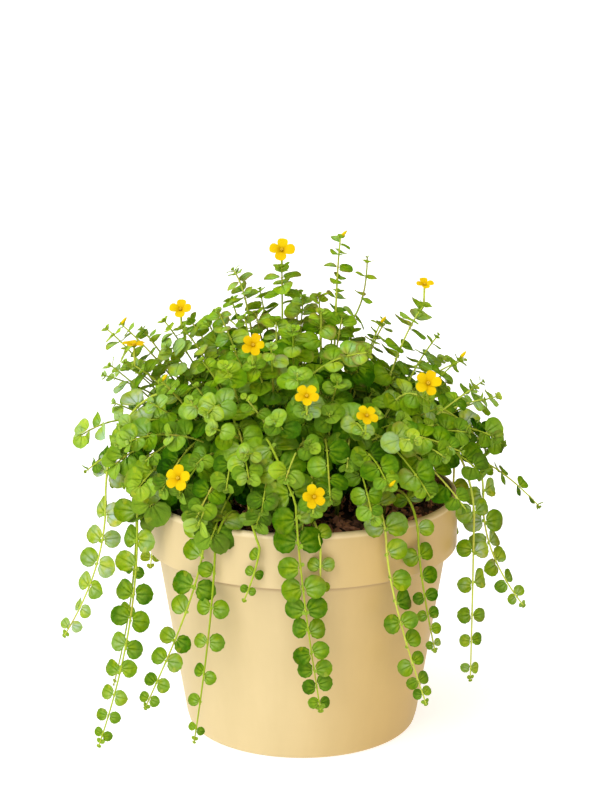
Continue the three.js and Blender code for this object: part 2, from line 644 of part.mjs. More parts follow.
// A corolla of petals on a thin stalk, from the stalk's foot to the flower's middle.
function flowerGeometry({ foot, middle, facing, size, petals }) {
  const skin = new Skin();
  const across = new THREE.Vector3().crossVectors(UP, facing).normalize();
  const upward = new THREE.Vector3().crossVectors(facing, across);
  const onFace = (a, radius, rise) => middle.clone()
    .addScaledVector(across, radius * Math.cos(a))
    .addScaledVector(upward, radius * Math.sin(a))
    .addScaledVector(facing, rise);
  const throat = middle.clone().addScaledVector(facing, -THROAT_DEPTH * size);
  const ringAt = (p, radius, axis) => {
    const one = across.clone().addScaledVector(axis, -across.dot(axis)).normalize();
    const two = new THREE.Vector3().crossVectors(axis, one);
    return Array.from({ length: petals }, (unused, i) => {
      const a = (2 * Math.PI * (i + 0.5)) / petals + Math.PI / 2;
      const out = one.clone().multiplyScalar(Math.cos(a)).addScaledVector(two, Math.sin(a));
      return skin.corner(p.clone().addScaledVector(out, radius));
    });
  };
  const stalkWay = throat.clone().sub(foot).normalize();
  const low = ringAt(foot, PEDICEL_WIDTH / 2, stalkWay);
  const high = ringAt(throat, PEDICEL_WIDTH, facing);
  skin.face(...low.slice().reverse());
  skin.band(low, high);
  const heart = skin.corner(middle);
  const rim = Array.from({ length: petals }, (unused, petal) => PETAL_OUTLINE.map(([part, reach, rise]) => {
    const a = (2 * Math.PI * (petal + part - 0.5)) / petals + Math.PI / 2;
    return skin.corner(onFace(a, size * reach, size * rise));
  }));
  rim.forEach((petal, i) => {
    const notch = rim[(i + 1) % petals][0];
    const before = high[(i + petals - 1) % petals];
    skin.face(heart, ...petal, notch);
    skin.face(before, high[i], notch, ...petal.slice().reverse());
  });
  return geometryOf(skin.solid());
}

const wasm = await Module();
wasm.setup();

const plant = new THREE.Group();

function addPiece(name, geometry, look) {
  const mesh = new THREE.Mesh(geometry, new THREE.MeshStandardMaterial({ ...look, metalness: 0 }));
  mesh.name = name;
  plant.add(mesh);
}

const numbered = (name, i) => `${name}_${String(i + 1).padStart(2, "0")}`;

// The stems are laid out first, so that the leaves can keep clear of all of them.
const trailing = TRAILING.map((spec, i) => planTrailing(spec, i));

const flowering = FLOWERING.map((spec, i) => {
  const [turn, above] = spec.faces;
  const middle = vector(spec.flower);
  const facing = around(turn, Math.cos(radians(above)), Math.sin(radians(above)));
  const size = FLOWER_RADIUS * (spec.size ?? 1);
  const tip = middle.clone().addScaledVector(facing, -PEDICEL_BACK).addScaledVector(UP, -PEDICEL_DROP);
  const seed = FLOWERING_SEED + i;
  const stem = planShoot(spec, seed, tip);
  const foot = tip.clone().addScaledVector(headingAt(stem.route, 1), CLEARANCE + PEDICEL_WIDTH / 3);
  const sideways = new THREE.Vector3().crossVectors(facing, UP).normalize();
  const disc = Array.from({ length: 32 }, (unused, k) => {
    const out = sideways.clone().applyAxisAngle(facing, (k * Math.PI) / 8);
    return middle.clone().addScaledVector(out, size * (k < 16 ? 1 : 0.5)).addScaledVector(facing, 1);
  });
  const stalk = [0.15, 0.3, 0.45, 0.6, 0.75, 0.9, 1].map((share) => foot.clone().lerp(middle, share));
  bed.add([...disc, ...stalk], STEM_KEEP, { flower: i });
  return { stem, flower: { foot, middle, facing, size, petals: spec.petals ?? PETALS } };
});

const leafyShoots = LEAFY.map(([first, ...others], i) => {
  const seed = LEAFY_SEED + 2 * i;
  const main = planShoot(first, seed, vector(first.tip));
  const forks = others.map((spec, k) => {
    const branch = planBranch(spec, seed + k + 1, main.route(FORK_AT), vector(spec.tip), false);
    bed.add(branch.points, STEM_KEEP, { stem: branch.seed });
    return branch;
  });
  return [main, ...forks];
});

addPiece("pot", potGeometry(), LOOK.pot);
addPiece("soil", soilGeometry(), LOOK.soil);
trailing.forEach((stem, i) => addPiece(numbered("trailing_stem", i), growTrailing(stem), LOOK.trailing));
flowering.forEach(({ stem, flower }, i) => {
  addPiece(numbered("flowering_shoot", i), geometryOf(growBranch(stem)), LOOK.shoot);
  addPiece(numbered("flower", i), flowerGeometry(flower), LOOK.flower);
});
leafyShoots.forEach((branches, i) => {
  const whole = branches.map(growBranch).reduce((sum, branch) => sum.add(branch));
  addPiece(numbered("leafy_shoot", i), geometryOf(whole), LOOK.shoot);
});

export default plant;
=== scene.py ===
# A creeping lysimachia in a collared pot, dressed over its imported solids.
# Lengths are in millimetres, and MM turns them to metres where a mesh is made; materials measure in metres.
# Angles round the pot are counted in degrees from the front towards +X.
from collections import namedtuple
from itertools import product
from math import atan2, cos, degrees, exp, floor, hypot, pi, radians, sin

import bpy
from mathutils import Matrix, Vector, noise


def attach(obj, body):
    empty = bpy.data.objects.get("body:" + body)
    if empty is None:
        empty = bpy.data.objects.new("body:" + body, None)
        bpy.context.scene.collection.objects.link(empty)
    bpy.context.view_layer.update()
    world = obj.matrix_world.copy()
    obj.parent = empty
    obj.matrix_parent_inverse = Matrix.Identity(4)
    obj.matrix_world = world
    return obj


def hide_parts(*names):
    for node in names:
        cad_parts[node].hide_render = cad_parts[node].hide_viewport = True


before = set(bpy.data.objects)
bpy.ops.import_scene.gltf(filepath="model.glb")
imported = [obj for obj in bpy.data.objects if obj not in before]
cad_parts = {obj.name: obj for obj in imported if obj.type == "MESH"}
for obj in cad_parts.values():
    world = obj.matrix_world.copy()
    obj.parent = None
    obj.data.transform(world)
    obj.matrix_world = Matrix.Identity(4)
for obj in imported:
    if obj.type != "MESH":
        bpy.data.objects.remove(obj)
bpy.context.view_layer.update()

MM = 0.001
UP = Vector((0, 0, 1))

# The camera stands in front of the pot and looks down at it. Its reach is in metres.
CAMERA_PLACE = (-1.4, -1360, 569)
CAMERA_PITCH = 13.8
CAMERA_LENS = 90
CAMERA_SENSOR = 36
CAMERA_REACH = 100

# The studio: a sky that is brightest on one side and warm on the other, a white floor and a broad light.
# The floor's reach is in metres, the light's spread in radians and its turn in degrees.
SKY_STRENGTH = 0.79
BRIGHT_SIDE = (-0.76, -0.4, 0.4)
WARM_SIDE = (1, 0.72, 0.36)
FLOOR_REACH = 40
FLOOR_GREY = (0.62, 0.62, 0.62, 1)
FLOOR_GLOW = 0.68
KEY_STRENGTH = 0.9
KEY_SPREAD = 0.6
KEY_TURN = (46, 0, -42)

# The pot.
RIM_RADIUS = 110
RIM_HEIGHT = 171
COLLAR_FOOT = 132.5
BODY_TOP_RADIUS = 103
BODY_FOOT_RADIUS = 82
FOOT_ROUNDING = 4
WALL = 4
LIP_ROUNDING = 3.2
COLLAR_ROUNDING = 1.6
INNER_LIP_ROUNDING = 0.8
CORNER_ROUNDING = 1
FLOOR_THICKNESS = 6
POT_SIDES = 144

# The potting mix. It is a little clear of the pot, and its top sinks where it meets the wall.
SOIL_TOP = 165
SOIL_EDGE_RADIUS = 105.2
SOIL_CROWN = 3
SOIL_SINK = 3.2
SOIL_LUMP = 2.2
SOIL_CRUMB = 0.9
SOIL_RINGS = 26
SOIL_SIDES = 110
CLEAR_BELOW = 0.3
CLEAR_BESIDE = 0.6
CHIPS_PER_SQUARE_METRE = 40000
CHIP_CORNERS = 6
CHIP_SEED = 900

# Stems, thicker at their leaf pairs. Places along a stem are shares of its length. The last pairs of a
# trailing stem: how far they lean out, and how wide they are beside its largest leaf.
STEM_RADIUS = 1.05
STEM_TIP_RADIUS = 0.5
STEM_SIDES = 6
NODE_SWELL = 1.35
NODE_HALF = 0.008
NODE_CLEAR = 0.012
FORK_AT = 0.45
FORK_THICKNESS = 0.7
CREST_AT = 0.24
HANG_AT = 0.45
TRAILING_STEPS = 50
TRAILING_LEAVES_FROM = 0.28
TRAILING_FADED = 0.7
TRAILING_TIP_PAIRS = ((1.2, 0.24), (0.4, 0.17))

# Round leaves one unit wide.
PETIOLE = 0.04
LEAF_MIDDLE = PETIOLE + 0.48
LEAF_THICKNESS = 0.018
SCALLOPS = 12

# An arch: how far along its way it is drawn up, and what a share of its own rise adds.
ARCH_AT = 0.28
ARCH_RISE = 0.32

# Small shoots arch over to low tips, and reach high ones almost straight.
LOW_TIP = 190
HIGH_TIP = 262
LEAST_LIFT = 36
MOST_LIFT = 100
HIGH_LIFT = -30

# Shoots leave the mix between these distances from the pot's axis, give or take their sway.
ROOTS_WITHIN = 84
ROOTS_FROM = 8

# Leaves turn to the light: those behind a line to the back, and the others to the front.
BACK_FROM = 45
LIGHT_TURN = 60

# How close two leaves may be, beside the sum of their widths. Where they lie parallel and this far apart,
# they may be closer.
ROOM = 0.42
STACKED_ROOM = 0.30
STACKED_APART = 1.6

# A shoot's leaf pairs: their distances from its tip, how wide they are beside its largest leaf, and how
# steeply they point along the shoot.
PAIR_GAPS = (0.4, 2, 6.5, 14, 23, 33, 44, 56, 68, 81, 94)
PAIR_SIZES = (0.22, 0.38, 0.64, 0.88, 1, 1.04, 1, 1, 1, 0.95, 0.9)
PAIR_RISE = (60, 40, 22, 12, 6, 3, 0, 0, 0, 0, 0)

FLOWER_RADIUS = 8.3
PETALS = 5
PEDICEL_RADIUS = 0.75
PEDICEL_TOP_RADIUS = 0.8
PEDICEL_BACK = 6
PEDICEL_DROP = 11
BUD_LENGTH = 6.4
BUD_SEPAL = 3.4

# Stems that trail over the rim. at: the angles at the crest, where the stem starts to hang, and at the tip.
# root, crest, hang, tip: radius from the pot's axis, and height where it isn't the mix's own.
# pairs: leaf pairs from the crest to the tip. leaf: the largest leaf's width. tone: how light its leaves are.
Trailing = namedtuple("Trailing", "at root crest hang tip pairs leaf tone", defaults=(0.5,))
TRAILING = [
    Trailing((-76, -79, -82), 58, (92, 247), (139, 172), (170, 69), 8, 15, 0.75),
    Trailing((-62, -64, -63), 84, (103, 202), (125, 168), (158, 6), 12, 15, 0.55),
    Trailing((-83, -85, -86), 88, (103, 184), (117, 166), (136, 26), 7, 9),
    Trailing((-35, -34, -63), 88, (103, 186), (116, 163), (123, 27), 9, 15),
    Trailing((-27, -30, -39), 90, (102, 181), (115, 160), (117, 17), 8, 12),
    Trailing((-22, -14, -19), 80, (95, 188), (115, 163), (118, 126), 4, 8.5),
    Trailing((-14, -2, 6), 70, (97, 232), (119, 196), (117, 51), 13, 17.2, 0.42),
    Trailing((4, 6, 6), 92, (103, 179), (115, 163), (115, 127), 3, 9.5),
    Trailing((28, 29, 46), 84, (98, 189), (115, 160), (118, 41), 10, 14.5),
    Trailing((41, 42, 51), 84, (98, 191), (116, 160), (117, 76), 8, 11),
    Trailing((70, 74, 76), 62, (88, 224), (124, 158), (123, 38), 7, 13, 0.62),
    Trailing((81, 83, 85), 66, (98, 230), (128, 166), (158, 88), 7, 14, 0.62),
    Trailing((112, 115, 120), 72, (97, 214), (123, 165), (127, 114), 4, 14),
    Trailing((140, 138, 132), 82, (99, 194), (116, 160), (120, 66), 6, 14),
    Trailing((-172, -169, -166), 84, (99, 196), (117, 160), (121, 92), 4, 14.5),
    Trailing((-112, -114, -118), 80, (99, 198), (119, 164), (128, 92), 5, 14),
]

# Flowers. faces: the way one faces, as an angle round the pot and an angle above the horizon. turn: how far
# its first petal is turned. size: beside the usual size.
Flower = namedtuple("Flower", "middle faces turn size petals", defaults=(90, 1, PETALS))

# Leafy shoots. tip: where one ends. leaf: the largest leaf's width. lift: how far its arch rises. spacing:
# how far apart its leaf pairs are, beside the usual gaps. spread: from 0, leaves that lie level, to 1, leaves
# that turn outwards. grown: how far the young pairs at its tip have grown. pairs: the most that it has.
# over: how far along its way it is drawn up. young: 1 where all its leaves are young and pale.
# bud: whether it ends in a yellow flower bud. Where they aren't given, an edge shoot's lift follows from its
# tip, grown is drawn by chance, and all pairs are there.
SHOOT_USUAL = (None, 1, 0, None, None, ARCH_AT, 0, False)
Shoot = namedtuple("Shoot", "tip leaf lift spacing spread grown pairs over young bud", defaults=SHOOT_USUAL)

# Each flower, with what is given of the shoot that carries it.
FLOWERING = [
    (Flower((-14, 2, 342), (0, 36), turn=87, size=1.12, petals=4),
     dict(leaf=14, lift=6, spacing=1.35, pairs=6)),
    (Flower((-84, -6, 302), (-6, 44), size=1.02, petals=4), dict(leaf=13, lift=-6, spacing=1.2, spread=0.5)),
    (Flower((-116, -12, 279), (-20, 82)), dict(leaf=13, lift=-6, spread=0.6)),
    (Flower((-32, -78, 292), (8, 32), turn=102), dict(leaf=14, lift=6)),
    (Flower((3, -108, 265), (0, 38), turn=89, size=0.98), dict(leaf=13, lift=34)),
    (Flower((42, -112, 253), (14, 38), turn=76, size=0.9), dict(leaf=13, lift=34)),
    (Flower((84, -68, 264), (4, 34), turn=107, size=1.16), dict(leaf=14, lift=36)),
    (Flower((-82, -99, 207), (-16, 28), turn=123, size=1.12), dict(leaf=15, lift=52)),
    (Flower((8, -136, 205), (10, 20), turn=68), dict(leaf=15, lift=62)),
    (Flower((85, 2, 318), (8, 62), size=0.78, petals=4), dict(leaf=15, lift=-14, spacing=1.25)),
]

# Shoots without a flower. The first branch rises from the mix, and a second one forks from it.
LEAFY = [
    [Shoot((27, 20, 347), 10, 6, spacing=1.85, spread=0.5, bud=True),
     Shoot((46, 32, 331), 11.5, -36, spacing=1.8, spread=0.5, over=1)],
    [Shoot((95, 6, 280), 11, -16, spacing=1.4), Shoot((115, 22, 259), 12, -4, spacing=1.3)],
    [Shoot((141, -8, 204), 14, 54), Shoot((139, 8, 236), 13, -2)],
    [Shoot((171, 20, 151), 10, 70)],
    [Shoot((-48, 22, 323), 11.5, 8, spacing=1.4, spread=0.5, over=0.1), Shoot((-62, 50, 288), 12, 0)],
    [Shoot((-138, 20, 282), 12, -18, spacing=1.15, spread=0.5), Shoot((-139, 4, 252), 13, -6, spread=0.6)],
    [Shoot((-155, -12, 212), 12, 44, spread=1, grown=0.8), Shoot((-126, -48, 216), 14, 20)],
    [Shoot((-6, -58, 298), 14, 0), Shoot((44, -68, 284), 14, 0)],
    [Shoot((-62, -92, 248), 14, 34), Shoot((-34, -124, 212), 14.5, 22)],
    [Shoot((56, -118, 206), 14.5, 54, bud=True), Shoot((106, -76, 218), 14, 26)],
    [Shoot((60, 40, 283), 11.5, -4, spacing=1.3, pairs=6), Shoot((106, 66, 250), 13, 0)],
    [Shoot((-82, 70, 278), 12.5, -4), Shoot((-118, 76, 246), 13, 0)],
    [Shoot((-4, 62, 300), 12.5, 0), Shoot((28, 106, 276), 13, 0)],
    [Shoot((112, 94, 204), 14, 48), Shoot((74, 112, 222), 14, 20)],
    [Shoot((-4, 140, 206), 14, 48), Shoot((44, 136, 200), 14, 20)],
    [Shoot((-70, 116, 222), 14, 48), Shoot((-118, 84, 200), 14, 20)],
]

# Small shoots that show at the mound's edge.
EDGE_SHOOTS = [
    Shoot((-124, -36, 214), 15, spread=1, grown=0.5),
    Shoot((-116, -64, 222), 15, grown=0.5),
    Shoot((-128, -42, 200), 16, grown=0.7),
    Shoot((-110, -74, 192), 15, grown=0.6),
    Shoot((-124, 0, 262), 14, spread=0.7),
    Shoot((-126, 6, 288), 12, spacing=1.2, spread=0.4, bud=True),
    Shoot((-96, 4, 291), 13, spread=0.6),
    Shoot((-66, 8, 290), 16, spread=1),
    Shoot((-50, 34, 300), 14, spread=1),
    Shoot((-30, 40, 306), 14, spread=0.7),
    Shoot((1, 30, 303), 13, spread=0.7),
    Shoot((12, 20, 306), 12, spread=0.5),
    Shoot((-18, -6, 293), 14.5, spread=0.9),
    Shoot((28, 4, 294), 14, spread=0.9),
    Shoot((-40, 2, 294), 14.5, spread=0.9),
    Shoot((25, 32, 307), 14, spread=0.7),
    Shoot((55, 14, 287), 11, spacing=1.3, pairs=5, bud=True),
    Shoot((110, -4, 266), 12, spacing=1.2, bud=True),
    Shoot((127, 6, 247), 12, spacing=1.2),
    Shoot((132, -30, 216), 15, grown=0.5),
    Shoot((-103, -62, 176), 17, grown=0.9),
    Shoot((-72, -92, 177), 15, grown=0.6),
    Shoot((-60, -104, 166), 16, grown=1),
    Shoot((-30, -112, 178), 13, grown=0.5),
    Shoot((-96, -40, 190), 16, grown=0.6),
    Shoot((122, -52, 196), 15, grown=0.5),
    Shoot((-133, -8, 262), 12, spread=0.6),
    Shoot((-130, -20, 238), 12, spread=0.6),
    Shoot((-112, 10, 284), 12, spread=0.5),
    Shoot((-150, -24, 190), 12, spread=0.6),
    Shoot((-95, -40, 258), 12, bud=True),
    Shoot((-106, -52, 167), 17, grown=1),
    Shoot((-68, -113, 178), 11.5, grown=0.9, pairs=3, young=1),
]

# The mound is filled by side shoots whose tips lie on a dome, evenly turned round it.
SIDE_SHOOTS = 120
INNER_SHOOTS = 78
DOME_RADIUS = 138
DOME_HEIGHT = 144
DOME_FOOT = 168
DOME_FULLNESS = 2.4
LOWER_BEHIND = 0.2
SADDLE_AT = 72
SADDLE_WIDTH = 25
SADDLE_DEPTH = 38
GOLDEN_ANGLE = 137.508

# Choices that look random are draws. Each piece has a seed of its own, and each choice a number where its
# draws start.
FLOWERING_SEED = 40
LEAFY_SEED = 60
EDGE_SEED = 150
SIDE_SEED = 200
DRAWS = {
    "tilt": 0, "swing": 50, "trailing width": 100, "trailing shade": 200, "shift": 250, "side bud way": 270,
    "side bud size": 290, "spin": 300, "tone": 301, "grown": 302, "youth": 303, "plant warmth": 305,
    "gap": 310, "way": 340, "rise": 360, "width": 380, "root radius": 400, "root angle": 440,
    "leaf kind": 500, "shade": 600, "stray": 700, "breadth": 800, "warmth": 840, "stem shade": 900,
    "petal lean": 10, "petal turn": 20, "petal length": 30, "petal shade": 40,
    "depth": 1, "size": 2, "lift": 3, "missing": 4, "corner": 0,
}


def around(angle, radius, height):
    """The point at an angle round the pot, a distance from its axis and a height."""
    a = radians(angle)
    return Vector((radius * sin(a), -radius * cos(a), height))


def angle_of(p):
    return degrees(atan2(p.x, -p.y))


def mix(a, b, t):
    return a + (b - a) * t


def smoothstep(x, low, high):
    t = min(1.0, max(0.0, (x - low) / (high - low)))
    return t * t * (3 - 2 * t)


def chance(seed, draw, k=0):
    """A number from 0 to 1 that is always the same for the same seed and the same draw."""
    mask = 0xFFFFFFFF
    h = ((seed + 1) * 0x9E3779B1 ^ (DRAWS[draw] + k + 1) * 0x85EBCA6B) & mask
    h = (h ^ h >> 15) * 0x2C1B3C6D & mask
    h = (h ^ h >> 12) * 0x297A2D39 & mask
    return (h ^ h >> 15) / 2**32


def sway(seed, size, draw, k=0):
    """A number from -size to size, drawn in the same way."""
    return (2 * chance(seed, draw, k) - 1) * size


def squared(way, axis):
    """A direction turned square to an axis."""
    return (way - axis * way.dot(axis)).normalized()


def trailing_route(plan):
    """A route that rises from the mix, arches over the rim and hangs down outside it."""
    crest_angle, hang_angle, tip_angle = plan.at
    crest, hang, tip = plan.crest, plan.hang, plan.tip

    def route(s):
        if s < CREST_AT:
            a = s / CREST_AT * pi / 2
            radius = mix(plan.root, crest[0], 1 - cos(a))
            return around(crest_angle, radius, mix(SOIL_TOP, crest[1], sin(a)))
        if s < HANG_AT:
            u = (s - CREST_AT) / (HANG_AT - CREST_AT)
            a = u * pi / 2
            radius = mix(crest[0], hang[0], sin(a))
            return around(mix(crest_angle, hang_angle, u), radius, mix(crest[1], hang[1], 1 - cos(a)))
        u = (s - HANG_AT) / (1 - HANG_AT)
        radius = hang[0] + (tip[0] - hang[0]) * u * u
        return around(mix(hang_angle, tip_angle, u**1.4), radius, mix(hang[1], tip[1], u))

    return route


def bent_route(start, over, tip):
    """A route from start to tip that bends towards the point over."""
    return lambda s: start * (1 - s) ** 2 + over * 2 * s * (1 - s) + tip * s * s


def arch_route(start, tip, lift, share=ARCH_AT):
    """A route that rises from its start and arches outwards to its tip, drawn up a share of the way along."""
    over = start.lerp(tip, share)
    over.z = (start.z + tip.z) / 2 + lift + (tip.z - start.z) * ARCH_RISE
    return bent_route(start, over, tip)


def lift_for(tip, share):
    """How far a small shoot's arch rises: for a low tip a share of the way from the least to the most."""
    return mix(mix(LEAST_LIFT, MOST_LIFT, share), HIGH_LIFT, smoothstep(tip.z, LOW_TIP, HIGH_TIP))


def root_under(tip, seed, reach=0.44, turn=4):
    """Where a shoot leaves the mix: under its tip, nearer to the pot's axis."""
    radius = min(ROOTS_WITHIN, ROOTS_FROM + hypot(tip.x, tip.y) * reach) + sway(seed, 4, "root radius")
    return around(angle_of(tip) + sway(seed, turn, "root angle"), abs(radius), SOIL_TOP)


def heading(route, s):
    return (route(min(1, s + 0.01)) - route(max(0, s - 0.01))).normalized()


def length_of(route):
    points = [route(i / 40) for i in range(41)]
    return sum((b - a).length for a, b in zip(points, points[1:]))


class Growth:
    """The stems and the organs of one piece, from which the growth tree makes its mesh."""

    # What each point carries, and its value where none is given.
    PLAIN = dict(thickness=0.0, kind=-1, size=(0, 0, 0), turn=(0, 0, 0), shade=0.5, youth=0.0, warmth=0.5,
                 faded=0.0, buried=0.0)

    def __init__(self):
        self.points = []
        self.edges = []
        self.values = {key: [] for key in self.PLAIN}

    def add(self, place, **given):
        """Adds a point and returns its number."""
        self.points.append(place * MM)
        for key, plain in self.PLAIN.items():
            self.values[key].append(given.get(key, plain))
        return len(self.points) - 1

    def stem(self, route, seed, steps, radius=STEM_RADIUS, tip_radius=STEM_TIP_RADIUS, nodes=(), rooted=True):
        """A stem along a route from 0 to 1, a little thicker where its leaf pairs stand."""
        plain = [(i / steps, 1) for i in range(steps + 1)]
        clear = [(s, w) for s, w in plain if all(abs(s - n) > NODE_CLEAR for n in nodes) or s in (0, 1)]
        knot = ((-NODE_HALF, 1), (0, NODE_SWELL), (NODE_HALF, 1))
        knots = [(min(1, s + d), w) for s in nodes for d, w in knot]
        shade = chance(seed, "stem shade")
        last = None
        for s, swell in sorted(clear + [k for k in knots if k[0] < 1]):
            place = route(s)
            # Low down near the mix and away from the rim, a stem gets painted shade.
            shown = max(smoothstep(hypot(place.x, place.y), 84, 102), smoothstep(place.z - SOIL_TOP, 5, 30))
            thickness = mix(radius, tip_radius, s) * swell * MM
            here = self.add(place, thickness=thickness, shade=shade, buried=1 - shown if rooted else 0)
            if last is not None:
                self.edges.append((last, here))
            last = here

    def organ(self, kind, base, out, normal, size, breadth=1.0, **values):
        """A leaf, petal or other organ at base, along out, with its upper side towards normal."""
        across = normal.cross(out).normalized()
        turn = Matrix((out, across, out.cross(across))).transposed().to_euler()
        sizes = tuple(s * MM for s in (size, size * breadth, size))
        self.add(base, kind=KINDS.index(kind), size=sizes, turn=tuple(turn), **values)


KINDS = ("flat_leaf", "cupped_leaf", "folded_leaf", "arched_leaf", "sepal", "petal", "stamen", "bud")
LEAF_KINDS = KINDS[:4]


def clear_of_pot(p):
    """Whether a point is clear of the pot, of the mix in it and of the ground."""
    away = hypot(p.x, p.y)
    if p.z > RIM_HEIGHT + 1:
        return True
    if away > RIM_RADIUS + 1:
        return p.z > 1
    return away < RIM_RADIUS - WALL - 1 and p.z > SOIL_TOP + 2


class Crowd:
    """The leaves so far, by the cubic cell that their middles are in, so that no two share a place."""

    CELL = 12

    def __init__(self):
        self.cells = {}

    def takes(self, middle, normal, width):
        """Adds a leaf if there is room for it, and says whether there was."""
        home = tuple(floor(v / self.CELL) for v in middle)
        for cell in product(*((v - 1, v, v + 1) for v in home)):
            for q, q_normal, q_width in self.cells.get(cell, ()):
                gap = q - middle
                level = abs(gap.dot(normal))
                flat = (gap - normal * gap.dot(normal)).length
                stacked = abs(normal.dot(q_normal)) > 0.8 and level > STACKED_APART
                room = (STACKED_ROOM if stacked else ROOM) * (width + q_width)
                if gap.length < room and (flat > 1 or level < STACKED_APART):
                    return False
        self.cells.setdefault(home, []).append((middle, normal, width))
        return True


crowd = Crowd()


def add_leaf(growth, base, out, normal, width, seed, pick, must=False, faded=0.0, **values):
    """Adds one leaf unless it would stand in the pot, or in another leaf where it isn't one that must be."""
    middle = base + out * width * (0.5 + PETIOLE)
    across = normal.cross(out).normalized()
    edge = [middle + out * width / 2, middle + across * width / 2, middle - across * width / 2, middle]
    if not all(clear_of_pot(p) for p in edge):
        return
    if not crowd.takes(middle, normal, width) and not must:
        return
    kind = LEAF_KINDS[floor(chance(seed, "leaf kind", pick) * 4)]
    breadth = 1 + sway(seed, 0.09, "breadth", pick)
    warmth = 0.5 + (sway(seed, 0.25, "plant warmth") + sway(seed, 0.3, "warmth", pick)) * (1 - faded)
    growth.organ(kind, base, out, normal, width, breadth, warmth=warmth, faded=faded, **values)


def to_the_light(p, pull):
    """The level direction that leaves at a place turn to: outwards, and round to the front or the back."""
    level = Vector((p.x, p.y * (1 + pull), 0))
    level.y += pull * LIGHT_TURN * (-1 if p.y < BACK_FROM else 1)
    return level.normalized()


def outward_at(route, s):
    """The way that a trailing stem's leaves face: up over the crest and outwards where it hangs."""
    p = route(max(s, CREST_AT))
    hung = smoothstep(s, CREST_AT, HANG_AT)
    return (to_the_light(p, 3) * (0.3 + 0.7 * hung) + UP * (1 - 0.8 * hung)).normalized()


def grow_trailing_leaf(growth, plan, seed, route, share, s, pick):
    """One leaf of a trailing stem, and past the crest the small bud between it and the stem."""
    side = 1 - 2 * (pick % 2)
    along = heading(route, s)
    tilt = side * radians(8 + sway(seed, 24, "tilt", pick))
    face = Matrix.Rotation(tilt, 3, along) @ outward_at(route, s)
    swing = -side * radians(8 + sway(seed, 14, "swing", pick))
    out = Matrix.Rotation(swing, 3, face) @ (along.cross(face) * side).normalized()
    size = plan.leaf * (1 - 0.6 * share**2.4)
    width = size * (1.04 + sway(seed, 0.1, "trailing width", pick))
    # Leaves near the crest are made lighter: painted light where the mound above shades them.
    shade = plan.tone + 0.03 + 0.13 * smoothstep(share, 0.45, 0.15) + sway(seed, 0.15, "trailing shade", pick)
    base = route(s) + along * sway(seed, 1.6, "shift", pick)
    add_leaf(growth, base, out, squared(face, out), width, seed, pick, must=True, faded=TRAILING_FADED,
             youth=share**3 * 0.3, shade=shade)
    if s > CREST_AT:
        bud = (out * 0.5 + face * 0.5 + along * sway(seed, 0.8, "side bud way", pick)).normalized()
        length = size * (0.17 + sway(seed, 0.06, "side bud size", pick))
        growth.organ("folded_leaf", base, bud, squared(face, bud), length, shade=0.7, youth=1.0)


def grow_trailing(growth, plan, seed):
    """A trailing stem with opposite pairs on either side, smaller and closer towards its tip."""
    route = trailing_route(plan)
    shares = [(k + 0.3) / plan.pairs for k in range(plan.pairs)]
    nodes = [mix(TRAILING_LEAVES_FROM, 1, 1 - (1 - share) ** 1.2) for share in shares]
    growth.stem(route, seed, TRAILING_STEPS, nodes=nodes)
    for k, (share, s) in enumerate(zip(shares, nodes)):
        for side in (0, 1):
            grow_trailing_leaf(growth, plan, seed, route, share, s, 2 * k + side)
    along = heading(route, 1)
    face = outward_at(route, 1)
    aside = along.cross(face).normalized()
    for k, (lean, size) in enumerate(TRAILING_TIP_PAIRS):
        for way in (-1, 1):
            out = (along + aside * way * lean).normalized()
            base = route(0.985 + 0.012 * k)
            add_leaf(growth, base, out, squared(face, out), plan.leaf * size, seed, 90 + way, must=True,
                     faded=0.6, youth=0.6, shade=0.6)


def saddle(x):
    """How far the mound's surface is lowered where it sags on the right of its top."""
    return SADDLE_DEPTH * exp(-(((x - SADDLE_AT) / SADDLE_WIDTH) ** 2))


def depth_under_dome(p):
    """How far a point is under the mound's surface, from 0 on it to 1 deep inside."""
    level = (hypot(p.x, p.y) / DOME_RADIUS) ** DOME_FULLNESS
    height = (max(0, p.z + saddle(p.x) - DOME_FOOT) / DOME_HEIGHT) ** DOME_FULLNESS
    return 1 - min(1, (level + height) ** (1 / DOME_FULLNESS))


def light_at(p, spread):
    """The way that the mound's leaves turn to at a place: up, and outwards where they are spread."""
    pull = mix(1.9, mix(0.35, 1.3, spread), smoothstep(p.z, 220, 270))
    up = 0.55 + mix(0.9, 0.45, spread) * max(0, p.z - 200) / 120
    return (to_the_light(p, pull) * 0.8 + UP * up).normalized()


def painted_light_at(p):
    """The painted light and shade of the mound's leaves at a place: painted shade inside it, low down and on
    its right, painted light high up.
    """
    lit = 0.04 + 0.2 * smoothstep(p.z, 205, 240) + (p.z - 212) * 0.0017
    return lit - 1.15 * depth_under_dome(p) - 0.0006 * p.x


